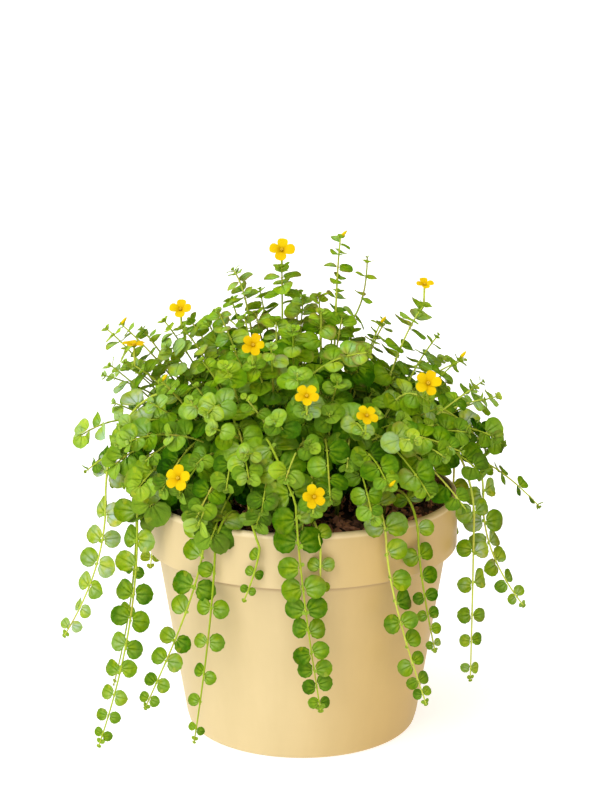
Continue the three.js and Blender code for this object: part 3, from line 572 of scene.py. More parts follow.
def grow_shoot(growth, plan, seed, start, radius=STEM_RADIUS):
    """An arching shoot with leaf pairs: crosswise where it stands, flat to the light where it lies."""
    tip = Vector(plan.tip)
    route = arch_route(start, tip, plan.lift, plan.over)
    length = length_of(route)
    gaps = [gap * plan.spacing * (1 + sway(seed, 0.15, "gap", k)) for k, gap in enumerate(PAIR_GAPS)]
    nodes = [1 - gap / length for gap in gaps if gap < 0.8 * length][:plan.pairs]
    growth.stem(route, seed, max(6, round(length / 6)), radius, nodes=nodes[2:])
    across = UP.cross(Vector((tip.x - start.x, tip.y - start.y, 0)).normalized())
    spin = chance(seed, "spin") * 90
    tone = 0.56 + sway(seed, 0.13, "tone") + 0.3 * plan.young
    grown = 0.35 * chance(seed, "grown") ** 2 if plan.grown is None else plan.grown
    for k, (s, size, rise) in enumerate(zip(nodes, PAIR_SIZES, PAIR_RISE)):
        if k == 0 and grown > 0.5 and not plan.young:
            continue
        here = route(s)
        along = heading(route, s)
        ahead = squared(across, along)
        light = light_at(here, plan.spread)
        beside = along.cross(light)
        settled = not plan.young and (k > 1 or (k == 1 and grown > 0.5))
        lies = smoothstep(beside.length, 0.45, 0.8) * (0.9 if settled else 0.3)
        turned_up = mix(0.6 + 0.2 * plan.spread, 0.95, lies) if settled else 0.25
        largest = plan.leaf * (mix(size, 1, grown) if k > 0 else size)
        youth = max(0, 1 - k / 3, plan.young) * 0.8 + 0.12 * chance(seed, "youth")
        for side in (0, 1):
            pick = 2 * k + side
            turn = radians(spin + 90 * k + 180 * side + sway(seed, 14, "way", pick))
            way = Matrix.Rotation(turn, 3, along) @ ahead
            level = beside.normalized() * (1 if way.dot(beside) > 0 else -1)
            way = mix(way, level, lies).normalized()
            steep = radians(rise + sway(seed, 10, "rise", pick))
            out = way * cos(steep) + along * sin(steep)
            upper = along * cos(steep) - way * sin(steep)
            stray = Vector([sway(seed, 0.4, "stray", 3 * pick + i) for i in range(3)])
            normal = mix(upper, light + stray, turned_up)
            out = (out - normal * out.dot(normal) / normal.length_squared * 0.8).normalized()
            width = largest * (1 + sway(seed, 0.16, "width", pick))
            # A leaf's shade is its shoot's tone, a random sway, and the mound's painted light and shade.
            shade = tone + sway(seed, 0.22, "shade", pick) + painted_light_at(here)
            add_leaf(growth, here, out, squared(normal, out), width, seed, pick, must=k < 3, youth=youth,
                     shade=shade)


def grow_bud(growth, tip, lean):
    """A yellow flower bud between four sepals, that leans to the right."""
    way = (UP + Vector((lean, 0, 0))).normalized()
    growth.organ("bud", tip, way, way.orthogonal(), BUD_LENGTH, shade=0.9)
    for k in range(4):
        out = Matrix.Rotation(k * pi / 2, 3, way) @ way.orthogonal().normalized()
        upper = (way * 0.35 - out).normalized()
        growth.organ("sepal", tip, (way + out * 0.35).normalized(), upper, BUD_SEPAL, youth=0.8)


def grow_flower(growth, flower, foot, facing, seed):
    """Petals round a cupped throat, with stamens in it and sepals behind it, on a stalk."""
    size = FLOWER_RADIUS * flower.size
    throat = Vector(flower.middle) - facing * 0.42 * size
    stalk = bent_route(foot, foot.lerp(throat, 0.55) + UP * 1.2, throat)
    growth.stem(stalk, seed, 8, PEDICEL_RADIUS, PEDICEL_TOP_RADIUS, rooted=False)
    sideways = facing.cross(UP).normalized()
    for k in range(flower.petals):
        turn = flower.turn + 360 * k / flower.petals + sway(seed, 5, "petal turn", k)
        out = Matrix.Rotation(radians(turn), 3, facing) @ sideways
        lean = radians(20 + sway(seed, 7, "petal lean", k))
        petal = out * cos(lean) + facing * sin(lean)
        face = facing * cos(lean) - out * sin(lean)
        length = size * (1.04 + sway(seed, 0.07, "petal length", k))
        breadth = 1.05 + 0.14 * (PETALS - flower.petals)
        shade = chance(seed, "petal shade", k)
        growth.organ("petal", throat + face * 0.12 * (k % 2), petal, face, length, breadth, shade=shade)
        between = Matrix.Rotation(pi / flower.petals, 3, facing) @ out
        sepal = (between + facing * 0.75).normalized()
        upper = (facing - between * 0.75).normalized()
        growth.organ("sepal", throat - facing * 1.1, sepal, upper, size * 0.5, youth=0.3)
        growth.organ("stamen", throat, (facing + out * 0.3).normalized(), out, size * 0.32)


def not_grown(tip, draw):
    """Whether a side shoot is left out, as some are at the mound's thin top and low down on its right."""
    top = 0.35 * smoothstep(tip.z, 268, 292)
    low_right = 0.65 * smoothstep(tip.z, 205, 185) * (28 < angle_of(tip) < 80)
    return draw < max(top, low_right)


def side_shoot(i):
    """The plan of one of the small shoots that fill the mound: the first ones reach its dome, and the others
    end deeper inside it. None where one is missing."""
    seed = SIDE_SEED + i
    inner = i >= SIDE_SHOOTS
    share = (i - SIDE_SHOOTS + 0.5) / INNER_SHOOTS if inner else (i + 0.5) / SIDE_SHOOTS
    height = DOME_HEIGHT * (0.06 + 0.94 * share)
    radius = DOME_RADIUS * (1 - (height / DOME_HEIGHT) ** DOME_FULLNESS) ** (1 / DOME_FULLNESS)
    depth = 0.7 + sway(seed, 0.08, "depth") if inner else 1 - 0.18 * chance(seed, "depth") ** 1.5
    tip = around(i * GOLDEN_ANGLE, radius * depth, DOME_FOOT + height * depth)
    tip.z -= (tip.z - DOME_FOOT) * LOWER_BEHIND * smoothstep(tip.y, 0, 80)
    tip.z -= saddle(tip.x) * smoothstep(tip.z, 235, 265)
    if not_grown(tip, chance(seed, "missing")):
        return None
    leaf = 15 - 1.7 * share + sway(seed, 2.9, "size")
    return Shoot(tip, leaf, lift_for(tip, 0 if inner else chance(seed, "lift")), spread=1)


class Plant:
    """The growth of each leafy piece, by the name of the solid that it stands for."""

    def __init__(self):
        self.growths = {}
        self.tips = []
        for i, plan in enumerate(TRAILING):
            grow_trailing(self.growth("trailing_stem", i), plan, i)
        for i, (flower, given) in enumerate(FLOWERING):
            self.grow_flowering(i, flower, given)
        for i, branches in enumerate(LEAFY):
            self.grow_leafy(i, *branches)
        for i, plan in enumerate(EDGE_SHOOTS):
            lifted = plan._replace(lift=lift_for(Vector(plan.tip), 0.3))
            self.grow_small(lifted, EDGE_SEED + i, 0.35, 20)
        for i in range(SIDE_SHOOTS + INNER_SHOOTS):
            plan = side_shoot(i)
            if plan:
                self.grow_small(plan, SIDE_SEED + i, 0.3, 42)

    def growth(self, kind, i):
        """A new piece's growth."""
        growth = self.growths[f"{kind}_{i + 1:02d}"] = Growth()
        return growth

    def grow_flowering(self, i, flower, given):
        """A flower and the shoot that carries it. The space in front of the flower is kept free of leaves."""
        turn, above = flower.faces
        middle = Vector(flower.middle)
        facing = around(turn, cos(radians(above)), sin(radians(above)))
        tip = middle - facing * PEDICEL_BACK - UP * PEDICEL_DROP
        seed = FLOWERING_SEED + i
        shoot = self.growth("flowering_shoot", i)
        grow_flower(self.growth("flower", i), flower, tip, facing, seed)
        for ahead in (0, 9, 18):
            crowd.takes(middle + facing * ahead, facing, 18)
        grow_shoot(shoot, Shoot(tip, **given), seed, root_under(tip, seed))
        self.tips.append((tip, shoot))

    def grow_leafy(self, i, first, *forks):
        """A shoot from the mix, and the branches that fork from it."""
        shoot = self.growth("leafy_shoot", i)
        seed = LEAFY_SEED + 2 * i
        tip = Vector(first.tip)
        root = root_under(tip, seed)
        grow_shoot(shoot, first, seed, root)
        fork_at = arch_route(root, tip, first.lift, first.over)(FORK_AT)
        for k, fork in enumerate(forks):
            grow_shoot(shoot, fork, seed + k + 1, fork_at, STEM_RADIUS * FORK_THICKNESS)
        for plan in (first, *forks):
            self.tips.append((Vector(plan.tip), shoot))
            if plan.bud:
                grow_bud(shoot, Vector(plan.tip), 0.95)

    def grow_small(self, plan, seed, reach, turn):
        """A small shoot, as a part of the piece whose tip is nearest to its own."""
        tip = Vector(plan.tip)
        nearest = min(self.tips, key=lambda one: (one[0] - tip).length)[1]
        grow_shoot(nearest, plan, seed, root_under(tip, seed, reach, turn))
        if plan.bud:
            grow_bud(nearest, tip, 0.8)


# The angle between a leaf's veins, then tints that colours are multiplied by, colours that are blended over
# others, and the stops of colour ramps.
VEIN_TURN = radians(31)
FADED_TINT = (1.27, 1.0, 2.3)
COOL_TINT = (0.94, 1.0, 1.5)
WARM_TINT = (1.1, 1.0, 0.3)
YELLOWED = (1.03, 1.0, 0.3)
BLOOMED = (0.95, 1.0, 1.6)
SUNNED_TINT = (0.91, 1.0, 0.5)
BLUSH = (0.28, 0.11, 0.06)
# Painted light and shade on the pot: tints for its lit and its shaded side, a shadow line and a lip
# highlight.
LIT_SIDE_TINT = (1.0, 1.01, 1.07)
SHADED_SIDE_TINT = (0.925, 0.79, 0.455)
PAINTED_COLLAR_SHADOW = (0.33, 0.20, 0.07)
PAINTED_LIP_HIGHLIGHT = (0.82, 0.68, 0.40)
PETAL_GOLD = (0.68, 0.41, 0.003)
PETAL_LIGHT = (0.70, 0.55, 0.004)
PETAL_LINES = (0.52, 0.29, 0.0)
PETAL_HEART = (0.46, 0.24, 0.0)
STEM_GREENS = ((0.25, (0.25, 0.36, 0.014)), (0.55, (0.42, 0.52, 0.045)), (0.8, (0.54, 0.62, 0.09)))
CLAYS = ((0.3, (0.54, 0.41, 0.175)), (0.5, (0.578, 0.442, 0.197)), (0.7, (0.615, 0.475, 0.22)))
STEM_BLUSH = (0.42, 0.2, 0.06)
STEM_IN_SHADE = (0.03, 0.05, 0.004)

# How far each colour of light spreads under a surface.
LEAF_SOFT = (0.4, 1.0, 0.1)
PETAL_SOFT = (1.0, 0.6, 0.0)


def operator(name, *more):
    """A method that adds a Math node of one operation, whose last inputs may be set."""
    return lambda self, *others: self.math(name, *others, *more)


class Value:
    """A socket's value, on which Python's operators add Math nodes."""

    __add__ = __radd__ = operator("ADD")
    __sub__ = operator("SUBTRACT")
    __mul__ = __rmul__ = operator("MULTIPLY")
    __truediv__ = operator("DIVIDE")
    __pow__ = operator("POWER")
    __abs__ = operator("ABSOLUTE")
    pingpong = operator("PINGPONG")
    equals = operator("COMPARE", 0.1)

    def __init__(self, tree, socket):
        self.tree = tree
        self.socket = socket

    def math(self, operation, *others):
        return self.tree.node("ShaderNodeMath", dict(enumerate((self, *others))), operation=operation)

    def __rsub__(self, other):
        return self * -1.0 + other

    def step(self, low, high):
        """0 below low, 1 above high, and smooth between. low may be over high."""
        sockets = {"Value": self, "From Min": low, "From Max": high}
        return self.tree.node("ShaderNodeMapRange", sockets, interpolation_type="SMOOTHSTEP")

    def twin(self, output):
        """Another output of the node that this value comes from."""
        return Value(self.tree, self.socket.node.outputs[output])


class Tree:
    """A node tree. node() takes a node's type, its sockets' values or links, an output, and its settings."""

    def __init__(self, tree):
        self.tree = tree
        tree.nodes.clear()

    def node(self, kind, sockets=None, output=0, **settings):
        node = self.tree.nodes.new(kind)
        for key, value in settings.items():
            setattr(node, key, value)
        for key, value in (sockets or {}).items():
            for one in value if isinstance(value, list) else [value]:
                if isinstance(one, Value):
                    self.tree.links.new(one.socket, node.inputs[key])
                else:
                    node.inputs[key].default_value = one
        return Value(self, node.outputs[output]) if len(node.outputs) else None

    def blend(self, factor, first, second, how="MIX"):
        """A blend of two colours, each of them a value or three numbers."""
        first, second = (c if isinstance(c, Value) else (*c, 1) for c in (first, second))
        sockets = {0: factor, 6: first, 7: second}
        return self.node("ShaderNodeMix", sockets, 2, data_type="RGBA", blend_type=how)


class Finish(Tree):
    """A material that ends in one Principled shader."""

    def __init__(self, name):
        self.material = bpy.data.materials.new(name)
        self.material.use_nodes = True
        super().__init__(self.material.node_tree)

    def place(self):
        return self.node("ShaderNodeTexCoord", output="Object")

    def blade(self):
        """A leaf or petal's own coordinates: across it, with its middle at 0.5, and along it."""
        across = self.node("ShaderNodeSeparateXYZ", {0: self.node("ShaderNodeUVMap", uv_map="blade")})
        return across, across.twin("Y")

    def attribute(self, name):
        return self.node("ShaderNodeAttribute", output="Fac", attribute_name=name)

    def noise(self, scale, detail=3.0, roughness=0.5, at=None):
        sockets = {"Vector": at or self.place(), "Scale": scale, "Detail": detail, "Roughness": roughness}
        return self.node("ShaderNodeTexNoise", sockets, "Fac")

    def ramp(self, value, *stops):
        """The colour at a value, between stops that are a place from 0 to 1 and a colour each."""
        ramp = self.node("ShaderNodeValToRGB", {0: value})
        elements = ramp.socket.node.color_ramp.elements
        while len(elements) < len(stops):
            elements.new(1)
        for element, (place, colour) in zip(elements, stops):
            element.position = place
            element.color = (*colour, 1)
        return ramp

    def tinted(self, colour, tint):
        return self.blend(1.0, colour, tint, "MULTIPLY")

    def bump(self, height, distance, strength=1.0):
        return self.node("ShaderNodeBump", {"Height": height, "Distance": distance, "Strength": strength})

    def surface(self, base, roughness, normal=None, specular=0.4, soft=0.0, soft_colours=(1, 1, 1),
                soft_depth=0.001, glow=0.0):
        """The material. soft: how much of its light spreads under the surface. glow: how much it shines."""
        sockets = {
            "Base Color": base, "Roughness": roughness, "Specular IOR Level": specular,
            "Subsurface Weight": soft, "Subsurface Radius": soft_colours, "Subsurface Scale": soft_depth,
            "Emission Color": (1, 1, 1, 1), "Emission Strength": glow,
        }
        if normal:
            sockets["Normal"] = normal
        self.node("ShaderNodeOutputMaterial", {"Surface": self.node("ShaderNodeBsdfPrincipled", sockets)})
        return self.material


def leaf_finish(name, deep, dark, middle, bright, light, young, underside=False):
    """Veins that fan out from the leaf's base, with painted shade in their creases, puckers between them with
    painted highlights, and a darker edge.
    """
    f = Finish(name)
    across, along = f.blade()
    across = across - 0.5
    out = (across * across + (along - 0.5) * (along - 0.5)) ** 0.5 * 2
    reach = along + 0.04
    turn = across.math("ARCTAN2", reach) / VEIN_TURN
    beside = turn.pingpong(0.5)
    far = (across * across + reach * reach) ** 0.5
    vein = (beside * far).step(0.03, 0.0) * far.step(0.8, 0.35)
    midrib = abs(across).step(0.045, 0.01) * along.step(0.92, 0.65)
    creases = (vein * 0.4).math("MAXIMUM", midrib)
    pucker = beside * far.step(0.9, 0.3)
    mottle = f.noise(420, 2)
    patches = f.noise(75, 1)
    edge = out.step(0.84, 1.02)
    shade = f.attribute("shade") + (mottle - 0.5) * 0.28 + (patches - 0.5) * 0.36 - out * 0.12
    # Painted light and shade: lighter on the puckers between the veins, darker beside the veins.
    shade = shade + (pucker - 0.2) * 0.42
    shade = (shade - 0.5) * 1.12 + 0.505
    colour = f.ramp(shade, (0.0, deep), (0.18, dark), (0.5, middle), (0.72, bright), (0.95, light))
    tint = f.blend(f.attribute("warmth"), COOL_TINT, WARM_TINT)
    colour = f.tinted(colour, f.blend(f.attribute("faded"), tint, FADED_TINT))
    bloom = f.noise(110, 2).step(0.36, 0.64)
    colour = f.tinted(colour, f.blend(bloom, YELLOWED, BLOOMED))
    base_glow = far.step(0.35, 0.03) * 0.25
    colour = f.blend((f.attribute("youth") * 0.6 + base_glow).math("MINIMUM", 0.9), colour, young)
    # Painted shade in the creases, and the leaf's own darker edge.
    colour = f.blend(creases * 0.36 + edge * 0.24, colour, dark)
    high = f.node("ShaderNodeSeparateXYZ", {0: f.place()}, "Z").step(0.24, 0.31)
    colour = f.blend(high, colour, f.tinted(colour, SUNNED_TINT))
    blush = (f.noise(40, 2) + high * 0.12).step(0.6, 0.75) * out.step(0.3, 1.05)
    colour = f.blend(blush * (high * 0.2 + 0.35), colour, BLUSH)
    height = (pucker - creases * 0.3) * (-1 if underside else 1) + mottle * 0.7
    rough = mottle * 0.12 + (0.55 if underside else 0.42)
    return f.surface(colour, rough, f.bump(height, 0.001, 0.6), 0.008, 0.1, LEAF_SOFT, 0.0015)


def stem_finish():
    """Green to yellow with a brown blush, and darkened by painted shade low in the middle of the mound."""
    f = Finish("stem")
    flecks = f.noise(220, 3)
    shade = f.attribute("shade") * 0.5 + flecks * 0.5
    colour = f.ramp(shade, *STEM_GREENS)
    colour = f.blend(f.noise(45, 1).step(0.52, 0.75) * 0.3, colour, STEM_BLUSH)
    # Painted shade on stems low down in the middle of the mound.
    colour = f.blend(f.attribute("buried") * 0.85, colour, STEM_IN_SHADE)
    return f.surface(colour, 0.5, f.bump(flecks, 0.0003, 0.3), 0.05, 0.1)


def petal_finish():
    """Gold, with fine lines along the petal and ochre in the throat."""
    f = Finish("petal")
    across, along = f.blade()
    streaks = f.noise(500, 2)
    lines = ((across - 0.5) / (along + 0.25) * 8).pingpong(0.5)
    heart = (along + streaks * 0.16 + lines * 0.3 - 0.12).step(0.5, 0.12)
    colour = f.blend(f.attribute("shade") * 0.5 + 0.22, PETAL_GOLD, PETAL_LIGHT)
    colour = f.blend(lines * along.step(0.95, 0.4) * 0.5, colour, PETAL_LINES)
    colour = f.blend(heart * 0.6, colour, PETAL_HEART)
    return f.surface(colour, 0.6, f.bump(streaks * 0.5 + lines, 0.0003, 0.3), 0.02, 0.1, PETAL_SOFT)


def anther_finish():
    """Grainy ochre."""
    f = Finish("anther")
    grains = f.noise(2500, 2)
    colour = f.ramp(grains, (0.3, (0.62, 0.38, 0.01)), (0.7, (0.80, 0.58, 0.03)))
    return f.surface(colour, 0.8, f.bump(grains, 0.0002))


def pot_finish():
    """Cream clay with painted light and shade: cooler on the lit side, redder on the shaded side, a highlight
    on the lip and a shadow line under the collar.
    """
    f = Finish("cream clay")
    place = f.place()
    streaked = f.node("ShaderNodeMapping", {"Vector": place, "Scale": (1, 1, 0.12)})
    streaks = f.noise(38, 4, 0.6, streaked)
    mottle = f.noise(14, 4, 0.6)
    fine = f.noise(900, 3, 0.6)
    tone = streaks * 0.5 + mottle * 0.5
    colour = f.ramp(tone, *CLAYS)
    beside = f.node("ShaderNodeSeparateXYZ", {0: place})
    height = beside.twin("Z")
    # Painted light and shade: a cooler tint on the lit left side, a redder, darker one on the shaded right
    # side.
    colour = f.tinted(colour, f.blend(beside.step(-0.03, 0.08), LIT_SIDE_TINT, SHADED_SIDE_TINT))
    # A painted shadow line in the corner under the collar.
    corner = height.step(0.1278, 0.1314) * height.step(0.1338, 0.1324)
    colour = f.blend(corner * 0.9, colour, PAINTED_COLLAR_SHADOW)
    # A painted highlight along the top of the lip.
    colour = f.blend(height.step(0.1668, 0.1685) * 0.5, colour, PAINTED_LIP_HIGHLIGHT)
    rough = fine * 0.12 + tone * 0.2 + 0.36
    return f.surface(colour, rough, f.bump(fine * 0.35 + mottle, 0.0006, 0.18), 0.85)


def soil_finish(name, dark, light):
    """Crumbs between a dark and a light colour."""
    f = Finish(name)
    crumbs = f.noise(330, 6, 0.7)
    colour = f.ramp(f.attribute("shade") * 0.6 + crumbs * 0.6, (0.36, dark), (0.9, light))
    return f.surface(colour, 0.85, f.bump(crumbs, 0.0012), 0.3)


MATERIALS = {
    "stem": stem_finish(),
    "blade": leaf_finish("leaf", (0.002, 0.030, 0.0001), (0.026, 0.108, 0.0004), (0.132, 0.265, 0.008),
                         (0.225, 0.375, 0.038), (0.34, 0.49, 0.125), (0.31, 0.46, 0.05)),
    "under": leaf_finish("leaf underside", (0.03, 0.07, 0.001), (0.08, 0.16, 0.003), (0.22, 0.35, 0.012),
                         (0.30, 0.43, 0.04), (0.40, 0.53, 0.10), (0.38, 0.50, 0.05), underside=True),
    "petal": petal_finish(),
    "anther": anther_finish(),
    "mix": soil_finish("potting mix", (0.006, 0.003, 0.002), (0.07, 0.03, 0.017)),
    "chip": soil_finish("bark chip", (0.006, 0.003, 0.002), (0.66, 0.29, 0.155)),
    "clay": pot_finish(),
}
TISSUES = ("stem", "blade", "under", "petal", "anther", "mix", "chip")


def mesh_object(name, points, faces, smooth=True):
    """A mesh object from points in its own unit, outside the scene until it is linked."""
    mesh = bpy.data.meshes.new(name)
    mesh.from_pydata([tuple(p) for p in points], [], faces)
    mesh.polygons.foreach_set("use_smooth", [smooth] * len(mesh.polygons))
    return bpy.data.objects.new(name, mesh)


def set_values(mesh, name, kind, domain, values):
    """Stores a value for each of a mesh's points or faces."""
    attribute = mesh.attributes.new(name, kind, domain)
    if kind == "FLOAT_VECTOR":
        attribute.data.foreach_set("vector", [x for v in values for x in v])
    else:
        attribute.data.foreach_set("value", values)


def template_object(name, points, faces, tissues, blade_at):
    """A shape to be placed many times, with each face's tissue, and blade coordinates from x and y."""
    ob = mesh_object(name, points, faces)
    set_values(ob.data, "tissue", "INT", "FACE", [TISSUES.index(tissue) for tissue in tissues])
    blade = ob.data.uv_layers.new(name="blade").data
    for loop in ob.data.loops:
        x, y, z = points[loop.vertex_index]
        blade[loop.index].uv = blade_at(x, y)
    return ob


def blade_template(name, outline, height, rim, middle, thick, tissues, length=0):
    """A thin closed blade along +X from the origin, from an outline over a turn and a height, with the
    tissues of its upper side and underside. length: how long its stalk is."""
    points = []
    faces = []
    kinds = []

    def ring(share, count, lift):
        first = len(points)
        for i in range(count):
            x, y = outline(2 * pi * i / count)
            x, y = middle + (x - middle) * share, y * share
            points.append((x, y, height(x, y) + lift))
        return list(range(first, first + count))

    half = rim // 2
    edge = ring(1, rim, 0)
    inner = ring(0.55, half, thick)
    top = len(points)
    bottom = top + 1
    points.append((middle, 0, height(middle, 0) + thick))
    points.append((middle, 0, height(middle, 0) - thick))
    for i in range(half):
        j = (i + 1) % half
        faces.append((top, inner[i], inner[j]))
        faces.append((inner[i], edge[2 * i], edge[2 * i + 1], inner[j]))
        faces.append((inner[j], edge[2 * i + 1], edge[(2 * i + 2) % rim]))
    kinds += [tissues[0]] * len(faces)
    faces += [(bottom, edge[(i + 1) % rim], edge[i]) for i in range(rim)]
    kinds += [tissues[1]] * rim
    if length:
        add_stalk(points, faces, kinds, length + 3 * thick)
    ob = template_object(name, points, faces, kinds, lambda x, y: (0.5 + y, x - length))
    for e in ob.data.edges:
        e.use_edge_sharp = all(v in edge for v in e.vertices)
    return ob


def add_stalk(points, faces, kinds, length):
    """A three-sided stalk from the origin along +X."""
    first = len(points)
    for x in (0, length):
        for k in range(3):
            a = 2 * pi * k / 3 + pi / 2
            points.append((x, 0.03 * cos(a), 0.03 * sin(a)))
    for k in range(3):
        j = (k + 1) % 3
        faces.append((first + k, first + 3 + k, first + 3 + j, first + j))
    faces.append((first + 2, first, first + 1))
    faces.append((first + 3, first + 5, first + 4))
    kinds += ["stem"] * 5


def leaf_template(kind, dome, fold, droop, ripple, depth):
    """A round leaf one unit wide, with shallow scallops and a notch at its stalk. Its middle is domed, its
    sides fold up, its tip droops and its edge ripples, each by a given amount."""

    def outline(a):
        back = pi - abs(pi - a % (2 * pi))
        scallop = 0.99 + depth * cos(SCALLOPS * a) * (0.6 + 0.5 * cos(3 * a + 1))
        notch = 0.16 * exp(-(((pi - back) / 0.26) ** 2))
        radius = 0.5 * scallop * (1 - notch)
        return LEAF_MIDDLE + radius * cos(a) * 0.95, radius * sin(a) * 1.06

    def height(x, y):
        rho = hypot(x - LEAF_MIDDLE, y) * 2
        a = atan2(y, x - LEAF_MIDDLE)
        return -dome * rho * rho + fold * abs(y) - droop * (x - PETIOLE) ** 2 + ripple * sin(3 * a) * rho**2

    tissues = ("blade", "under")
    return blade_template(kind, outline, height, 2 * SCALLOPS, LEAF_MIDDLE, LEAF_THICKNESS, tissues, PETIOLE)


PETAL_SHAPE = ((0, 0.08), (0.2, 0.19), (0.42, 0.295), (0.62, 0.345), (0.82, 0.32), (0.94, 0.21), (0.98, 0))


def petal_outline(a):
    """A petal one unit long, from its half widths along it."""
    steps = len(PETAL_SHAPE) - 1
    place = (1 - abs(a / pi - 1)) * -steps + steps
    i = min(steps - 1, floor(place))
    t = place - i
    (x, w), (x2, w2) = PETAL_SHAPE[i], PETAL_SHAPE[i + 1]
    return mix(x, x2, t), mix(w, w2, t) * (1 if a < pi else -1)


def petal_template():
    def height(x, y):
        return 0.3 * x * (1 - x) * 1.6 - 0.06 * x + 0.45 * y * y

    rim = 2 * (len(PETAL_SHAPE) - 1)
    return blade_template("petal", petal_outline, height, rim, 0.55, 0.015, ("petal", "petal"))


def sepal_template():
    def outline(a):
        return 0.5 + 0.5 * cos(a), 0.17 * sin(a) * (1 - 0.45 * cos(a))

    def height(x, y):
        return 0.4 * abs(y) + 0.1 * x * x

    return blade_template("sepal", outline, height, 8, 0.45, 0.02, ("blade", "under"))


def turned_shape(profile, sides, place):
    """A closed turned shape, from a profile whose first and last points lie on its axis. place gives the
    point at a step round the axis for a point of the profile."""
    points = [place(0, profile[0]), place(0, profile[-1])]
    rings = []
    for station in profile[1:-1]:
        rings.append(len(points))
        points += [place(k, station) for k in range(sides)]
    faces = []
    for k in range(sides):
        j = (k + 1) % sides
        faces.append((0, rings[0] + j, rings[0] + k))
        faces += [(low + k, low + j, high + j, high + k) for low, high in zip(rings, rings[1:])]
        faces.append((1, rings[-1] + k, rings[-1] + j))
    return points, faces


def turned_template(name, sides, profile, tissues):
    """A turned shape along +X, from (x, radius) points, with the tissue of each band between them."""

    def place(k, station):
        x, radius = station
        a = 2 * pi * k / sides
        return x, radius * cos(a), radius * sin(a)

    points, faces = turned_shape(profile, sides, place)
    return template_object(name, points, faces, tissues * sides, lambda x, y: (0.5, 0.8))


STAMEN_SHAPE = ((0, 0), (0.02, 0.09), (0.6, 0.07), (0.66, 0.17), (0.86, 0.19), (1, 0.1), (1.04, 0))
BUD_SHAPE = ((0, 0), (0.05, 0.13), (0.3, 0.19), (0.62, 0.17), (0.9, 0.08), (1, 0))
TEMPLATES = [
    leaf_template("flat_leaf", 0.05, 0.16, 0.05, 0.025, 0.018),
    leaf_template("cupped_leaf", -0.07, 0.22, 0.0, 0.035, 0.028),
    leaf_template("folded_leaf", 0.02, 0.36, 0.08, 0.025, 0.022),
    leaf_template("arched_leaf", 0.09, 0.18, 0.2, 0.035, 0.034),
    sepal_template(),
    petal_template(),
    turned_template("stamen", 5, STAMEN_SHAPE, ["anther"] * 6),
    turned_template("bud", 7, BUD_SHAPE, ["blade"] + ["petal"] * 4),
]


class Grower(Tree):
    """A geometry tree with named inputs."""

    def __init__(self, name, inputs):
        super().__init__(bpy.data.node_groups.new(name, "GeometryNodeTree"))
        face = self.tree.interface
        self.sockets = {}
        for title, kind in [("Geometry", "NodeSocketGeometry"), *inputs]:
            self.sockets[title] = face.new_socket(name=title, in_out="INPUT", socket_type=kind)
        face.new_socket(name="Geometry", in_out="OUTPUT", socket_type="NodeSocketGeometry")
        self.entry = self.tree.nodes.new("NodeGroupInput")

    def given(self, title):
        return Value(self, self.entry.outputs[title])

    def named(self, name, kind="FLOAT"):
        return self.node("GeometryNodeInputNamedAttribute", {"Name": name}, data_type=kind)

    def finish(self, shape, tissues):
        """Realizes the instances, gives each tissue its material, and ends the tree."""
        shape = self.node("GeometryNodeRealizeInstances", {0: shape})
        tissue = self.named("tissue", "INT")
        for name in tissues:
            chosen = {"Selection": tissue.equals(TISSUES.index(name)), "Material": MATERIALS[name]}
            shape = self.node("GeometryNodeSetMaterial", {"Geometry": shape, **chosen})
        self.node("NodeGroupOutput", {"Geometry": shape})

    def apply(self, ob, values):
        """Gives an object the mesh that the tree makes of it, with inputs given by name."""
        bpy.context.scene.collection.objects.link(ob)
        modifier = ob.modifiers.new("growth", "NODES")
        modifier.node_group = self.tree
        for title, value in values.items():
            modifier[self.sockets[title].identifier] = value
        bpy.context.view_layer.update()
        evaluated = ob.evaluated_get(bpy.context.evaluated_depsgraph_get())
        made = bpy.data.meshes.new_from_object(evaluated)
        ob.modifiers.clear()
        ob.data = made
        for name in ("turn", "size", "kind", "thickness"):
            if name in made.attributes:
                made.attributes.remove(made.attributes[name])


def growth_tree():
    """Stems along the edges of a skeleton, and an organ on each of its loose points."""
    kinds = [(kind, "NodeSocketObject") for kind in KINDS]
    g = Grower("leafy growth", [*kinds, ("Stem sides", "NodeSocketInt")])
    skeleton = g.given("Geometry")
    curves = g.node("GeometryNodeMeshToCurve", {"Mesh": skeleton})
    ring = g.node("GeometryNodeCurvePrimitiveCircle", {"Resolution": g.given("Stem sides"), "Radius": 1.0})
    sweep = {"Curve": curves, "Profile Curve": ring, "Scale": g.named("thickness"), "Fill Caps": True}
    stems = g.node("GeometryNodeCurveToMesh", sweep)
    organs = []
    for kind in KINDS:
        shape = g.node("GeometryNodeObjectInfo", {"Object": g.given(kind)}, "Geometry")
        chosen = g.named("kind", "INT").equals(KINDS.index(kind))
        turn = g.node("FunctionNodeEulerToRotation", {0: g.named("turn", "FLOAT_VECTOR")})
        size = g.named("size", "FLOAT_VECTOR")
        placed = {"Points": skeleton, "Selection": chosen, "Instance": shape, "Rotation": turn, "Scale": size}
        organs.append(g.node("GeometryNodeInstanceOnPoints", placed))
    whole = g.node("GeometryNodeJoinGeometry", {0: [*reversed(organs), stems]})
    g.finish(whole, TISSUES[:5])
    return g


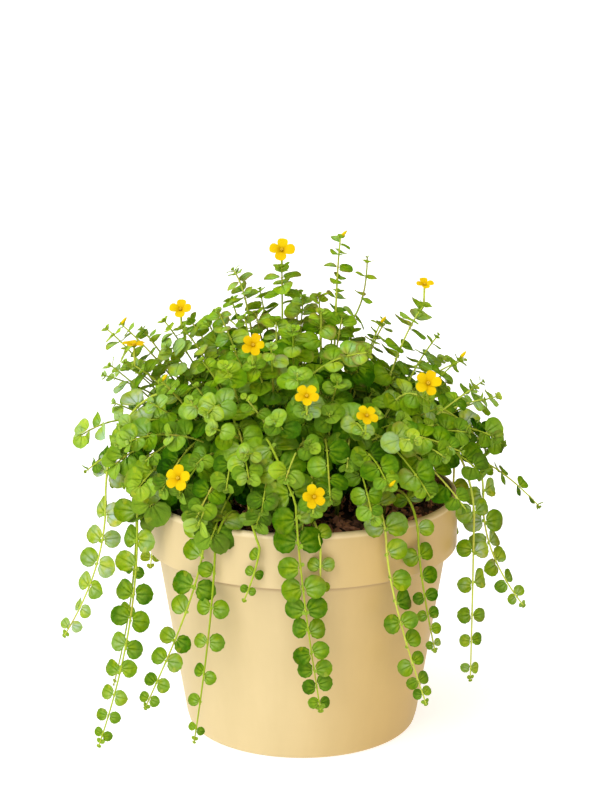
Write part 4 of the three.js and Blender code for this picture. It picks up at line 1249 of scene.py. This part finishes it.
def make_growths():
    """Every leafy piece, from its growth."""
    tree = growth_tree()
    inputs = {**dict(zip(KINDS, TEMPLATES)), "Stem sides": STEM_SIDES}
    types = {"kind": "INT", "turn": "FLOAT_VECTOR", "size": "FLOAT_VECTOR"}
    for name, growth in Plant().growths.items():
        mesh = bpy.data.meshes.new(name)
        mesh.from_pydata([tuple(p) for p in growth.points], growth.edges, [])
        for key, values in growth.values.items():
            set_values(mesh, key, types.get(key, "FLOAT"), "POINT", values)
        piece = bpy.data.objects.new(f"{name}_dressed", mesh)
        tree.apply(piece, inputs)
        for polygon in piece.data.polygons:
            polygon.use_smooth = True
        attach(piece, "root")
        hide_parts(name)


def arc(radius, height, size, start, end, steps):
    """Points of part of a circle, for a rounded edge of the pot's profile."""
    turns = [radians(mix(start, end, i / steps)) for i in range(steps + 1)]
    return [(radius + size * cos(a), height + size * sin(a)) for a in turns]


def body_radius(z):
    """How wide the pot's body is at a height."""
    return mix(BODY_FOOT_RADIUS, BODY_TOP_RADIUS, z / COLLAR_FOOT)


def turned_point(k, station):
    """The point of the pot at a step round its axis, in metres."""
    radius, height = station
    return tuple(around(360 * k / POT_SIDES, radius, height) * MM)


def make_pot():
    """The pot, turned from a profile that runs up its outside and down its inside."""
    inside = RIM_RADIUS - WALL
    step = COLLAR_FOOT + WALL
    foot, collar, lip, inner = FOOT_ROUNDING, COLLAR_ROUNDING, LIP_ROUNDING, INNER_LIP_ROUNDING
    corner = CORNER_ROUNDING
    profile = [
        (0, 0),
        (BODY_FOOT_RADIUS - foot - 1, 0),
        *arc(BODY_FOOT_RADIUS - foot, foot, foot, -90, -8, 7),
        *[(body_radius(z), z) for z in (8, 40, 80, 120, COLLAR_FOOT - 1.5)],
        *arc(BODY_TOP_RADIUS + corner, COLLAR_FOOT - corner, corner, 180, 90, 3),
        *arc(RIM_RADIUS - collar, COLLAR_FOOT + collar, collar, -90, 0, 6),
        (RIM_RADIUS, COLLAR_FOOT + 12),
        (RIM_RADIUS, RIM_HEIGHT - 8),
        *arc(RIM_RADIUS - lip, RIM_HEIGHT - lip, lip, 0, 90, 6),
        *arc(inside + inner, RIM_HEIGHT - inner, inner, 90, 180, 4),
        (inside, step + WALL),
        (body_radius(step) - WALL, step),
        (body_radius(FLOOR_THICKNESS) - WALL, FLOOR_THICKNESS),
        (0, FLOOR_THICKNESS),
    ]
    pot = mesh_object("pot_dressed", *turned_shape(profile, POT_SIDES, turned_point))
    pot.data.materials.append(MATERIALS["clay"])
    bpy.context.scene.collection.objects.link(pot)
    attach(pot, "root")
    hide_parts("pot")


def soil_height(p, share):
    """The height of the mix's top at a place, a share of the way from its middle to its edge."""
    lumps = noise.fractal(p * 0.055, 1, 2.1, 4) * SOIL_LUMP + noise.noise(p * 0.3) * SOIL_CRUMB
    crown = SOIL_CROWN * (1 - share**2)
    return SOIL_TOP + crown - SOIL_SINK * smoothstep(share, 0.86, 1) + lumps * (1 - 0.4 * share)


def chip_template(name, length, width, thick):
    """A split chip of bark: a slab with crooked corners."""
    n = CHIP_CORNERS
    points = []
    for z in (-thick, thick):
        for k in range(n):
            a = 2 * pi * k / n
            jag = 1 + sway(CHIP_SEED + round(length * 10), 0.25, "corner", k + (z > 0) * n)
            tall = z * (1 + sway(CHIP_SEED + 1, 0.5, "corner", k))
            points.append((length * cos(a) * jag, width * sin(a) * jag, tall))
    faces = [tuple(range(n - 1, -1, -1)), tuple(range(n, 2 * n))]
    faces += [(k, (k + 1) % n, n + (k + 1) % n, n + k) for k in range(n)]
    ob = mesh_object(name, points, faces, smooth=False)
    set_values(ob.data, "tissue", "INT", "FACE", [TISSUES.index("chip")] * len(faces))
    return ob


CHIPS = {
    "Long chip": chip_template("long_chip", 5.2, 2.4, 0.8),
    "Broad chip": chip_template("broad_chip", 3.4, 2.8, 1.1),
}


def mix_tree():
    """Bark chips scattered over the top of the potting mix, lying and leaning."""
    kinds = [(title, "NodeSocketObject") for title in CHIPS]
    g = Grower("potting mix", [*kinds, ("Density", "NodeSocketFloat"), ("Seed", "NodeSocketInt")])
    body = g.given("Geometry")
    spread = {"Mesh": body, "Selection": g.named("top", "BOOLEAN"), "Density": g.given("Density")}
    points = g.node("GeometryNodeDistributePointsOnFaces", {**spread, "Seed": g.given("Seed")})
    shade = g.node("FunctionNodeRandomValue", {"Seed": 3}, 1, data_type="FLOAT")
    keep = {"Geometry": points, "Name": "shade", "Value": shade}
    points = g.node("GeometryNodeStoreNamedAttribute", keep, data_type="FLOAT", domain="POINT")
    lean = {0: (-1, -1, 0), 1: (1, 1, 6.28), "Seed": 5}
    turn = g.node("FunctionNodeRandomValue", lean, data_type="FLOAT_VECTOR")
    turn = g.node("FunctionNodeEulerToRotation", {0: turn})
    shapes = [g.node("GeometryNodeObjectInfo", {"Object": g.given(title), "As Instance": True}, "Geometry")
              for title in CHIPS]
    shapes = g.node("GeometryNodeJoinGeometry", {0: shapes})
    sizes = g.node("FunctionNodeRandomValue", {2: 0.35, 3: 1.45, "Seed": 8}, 1, data_type="FLOAT")
    placed = {"Points": points, "Instance": shapes, "Rotation": turn, "Scale": sizes * MM}
    chips = g.node("GeometryNodeInstanceOnPoints", {**placed, "Pick Instance": True})
    whole = g.node("GeometryNodeJoinGeometry", {0: [chips, body]})
    g.finish(whole, ("mix", "chip"))
    return g


def make_soil():
    """The potting mix: a lumpy top that carries the chips, on a plain plug that fills the pot."""
    low = FLOOR_THICKNESS + CLEAR_BELOW
    gap = WALL + CLEAR_BESIDE
    points = [Vector((0, 0, low)) * MM, Vector((0, 0, soil_height(Vector(), 0))) * MM]
    rings = []
    for i in range(1, SOIL_RINGS + 1):
        share = (i / SOIL_RINGS) ** 0.8
        rings.append(len(points))
        for k in range(SOIL_SIDES):
            p = around(360 * k / SOIL_SIDES, SOIL_EDGE_RADIUS * share, 0)
            p.z = soil_height(p, share)
            points.append(p * MM)
    for z in (COLLAR_FOOT, low):
        rings.append(len(points))
        points += [around(360 * k / SOIL_SIDES, body_radius(z) - gap, z) * MM for k in range(SOIL_SIDES)]
    faces = []
    top = []
    for k in range(SOIL_SIDES):
        j = (k + 1) % SOIL_SIDES
        faces.append((1, rings[0] + k, rings[0] + j))
        faces += [(a + k, b + k, b + j, a + j) for a, b in zip(rings, rings[1:])]
        faces.append((0, rings[-1] + j, rings[-1] + k))
        top += [n < SOIL_RINGS - 1 for n in range(len(rings) + 1)]
    soil = mesh_object("soil_dressed", points, faces)
    set_values(soil.data, "top", "BOOLEAN", "FACE", top)
    set_values(soil.data, "tissue", "INT", "FACE", [TISSUES.index("mix")] * len(faces))
    shades = [noise.noise(Vector(p) * 90) * 0.5 + 0.4 for p in points]
    set_values(soil.data, "shade", "FLOAT", "POINT", shades)
    mix_tree().apply(soil, {**CHIPS, "Density": CHIPS_PER_SQUARE_METRE, "Seed": 4})
    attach(soil, "root")
    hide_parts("soil")


def add_camera():
    data = bpy.data.cameras.new("camera")
    data.lens = CAMERA_LENS
    data.sensor_width = CAMERA_SENSOR
    data.clip_end = CAMERA_REACH
    camera = bpy.data.objects.new("camera", data)
    camera.location = Vector(CAMERA_PLACE) * MM
    camera.rotation_euler = (radians(90 - CAMERA_PITCH), 0, 0)
    bpy.context.scene.collection.objects.link(camera)
    bpy.context.scene.camera = camera


def add_studio():
    """A white floor, a pale sky all round and a broad soft light from the upper left."""
    scene = bpy.context.scene
    scene.view_settings.view_transform = "Standard"
    world = bpy.data.worlds.new("studio")
    world.use_nodes = True
    sky = Tree(world.node_tree)
    way = sky.node("ShaderNodeTexCoord", output="Generated")
    side = sky.node("ShaderNodeVectorMath", {0: way, 1: BRIGHT_SIDE}, "Value", operation="DOT_PRODUCT")
    warmth = sky.blend(side.step(0.5, -0.3), (1, 1, 1), WARM_SIDE)
    light = sky.node("ShaderNodeBackground", {"Color": warmth, "Strength": side + SKY_STRENGTH})
    sky.node("ShaderNodeOutputWorld", {"Surface": light})
    scene.world = world
    r = FLOOR_REACH
    corners = [(-r, -r, 0), (r, -r, 0), (r, r, 0), (-r, r, 0)]
    ground = mesh_object("floor", corners, [(0, 1, 2, 3)], smooth=False)
    ground.data.materials.append(Finish("white floor").surface(FLOOR_GREY, 0.9, glow=FLOOR_GLOW))
    scene.collection.objects.link(ground)
    data = bpy.data.lights.new("key", "SUN")
    data.energy = KEY_STRENGTH
    data.angle = KEY_SPREAD
    key = bpy.data.objects.new("key", data)
    key.rotation_euler = [radians(a) for a in KEY_TURN]
    scene.collection.objects.link(key)


add_camera()
make_pot()
make_soil()
make_growths()
for template in (*TEMPLATES, *CHIPS.values()):
    bpy.data.objects.remove(template)
add_studio()
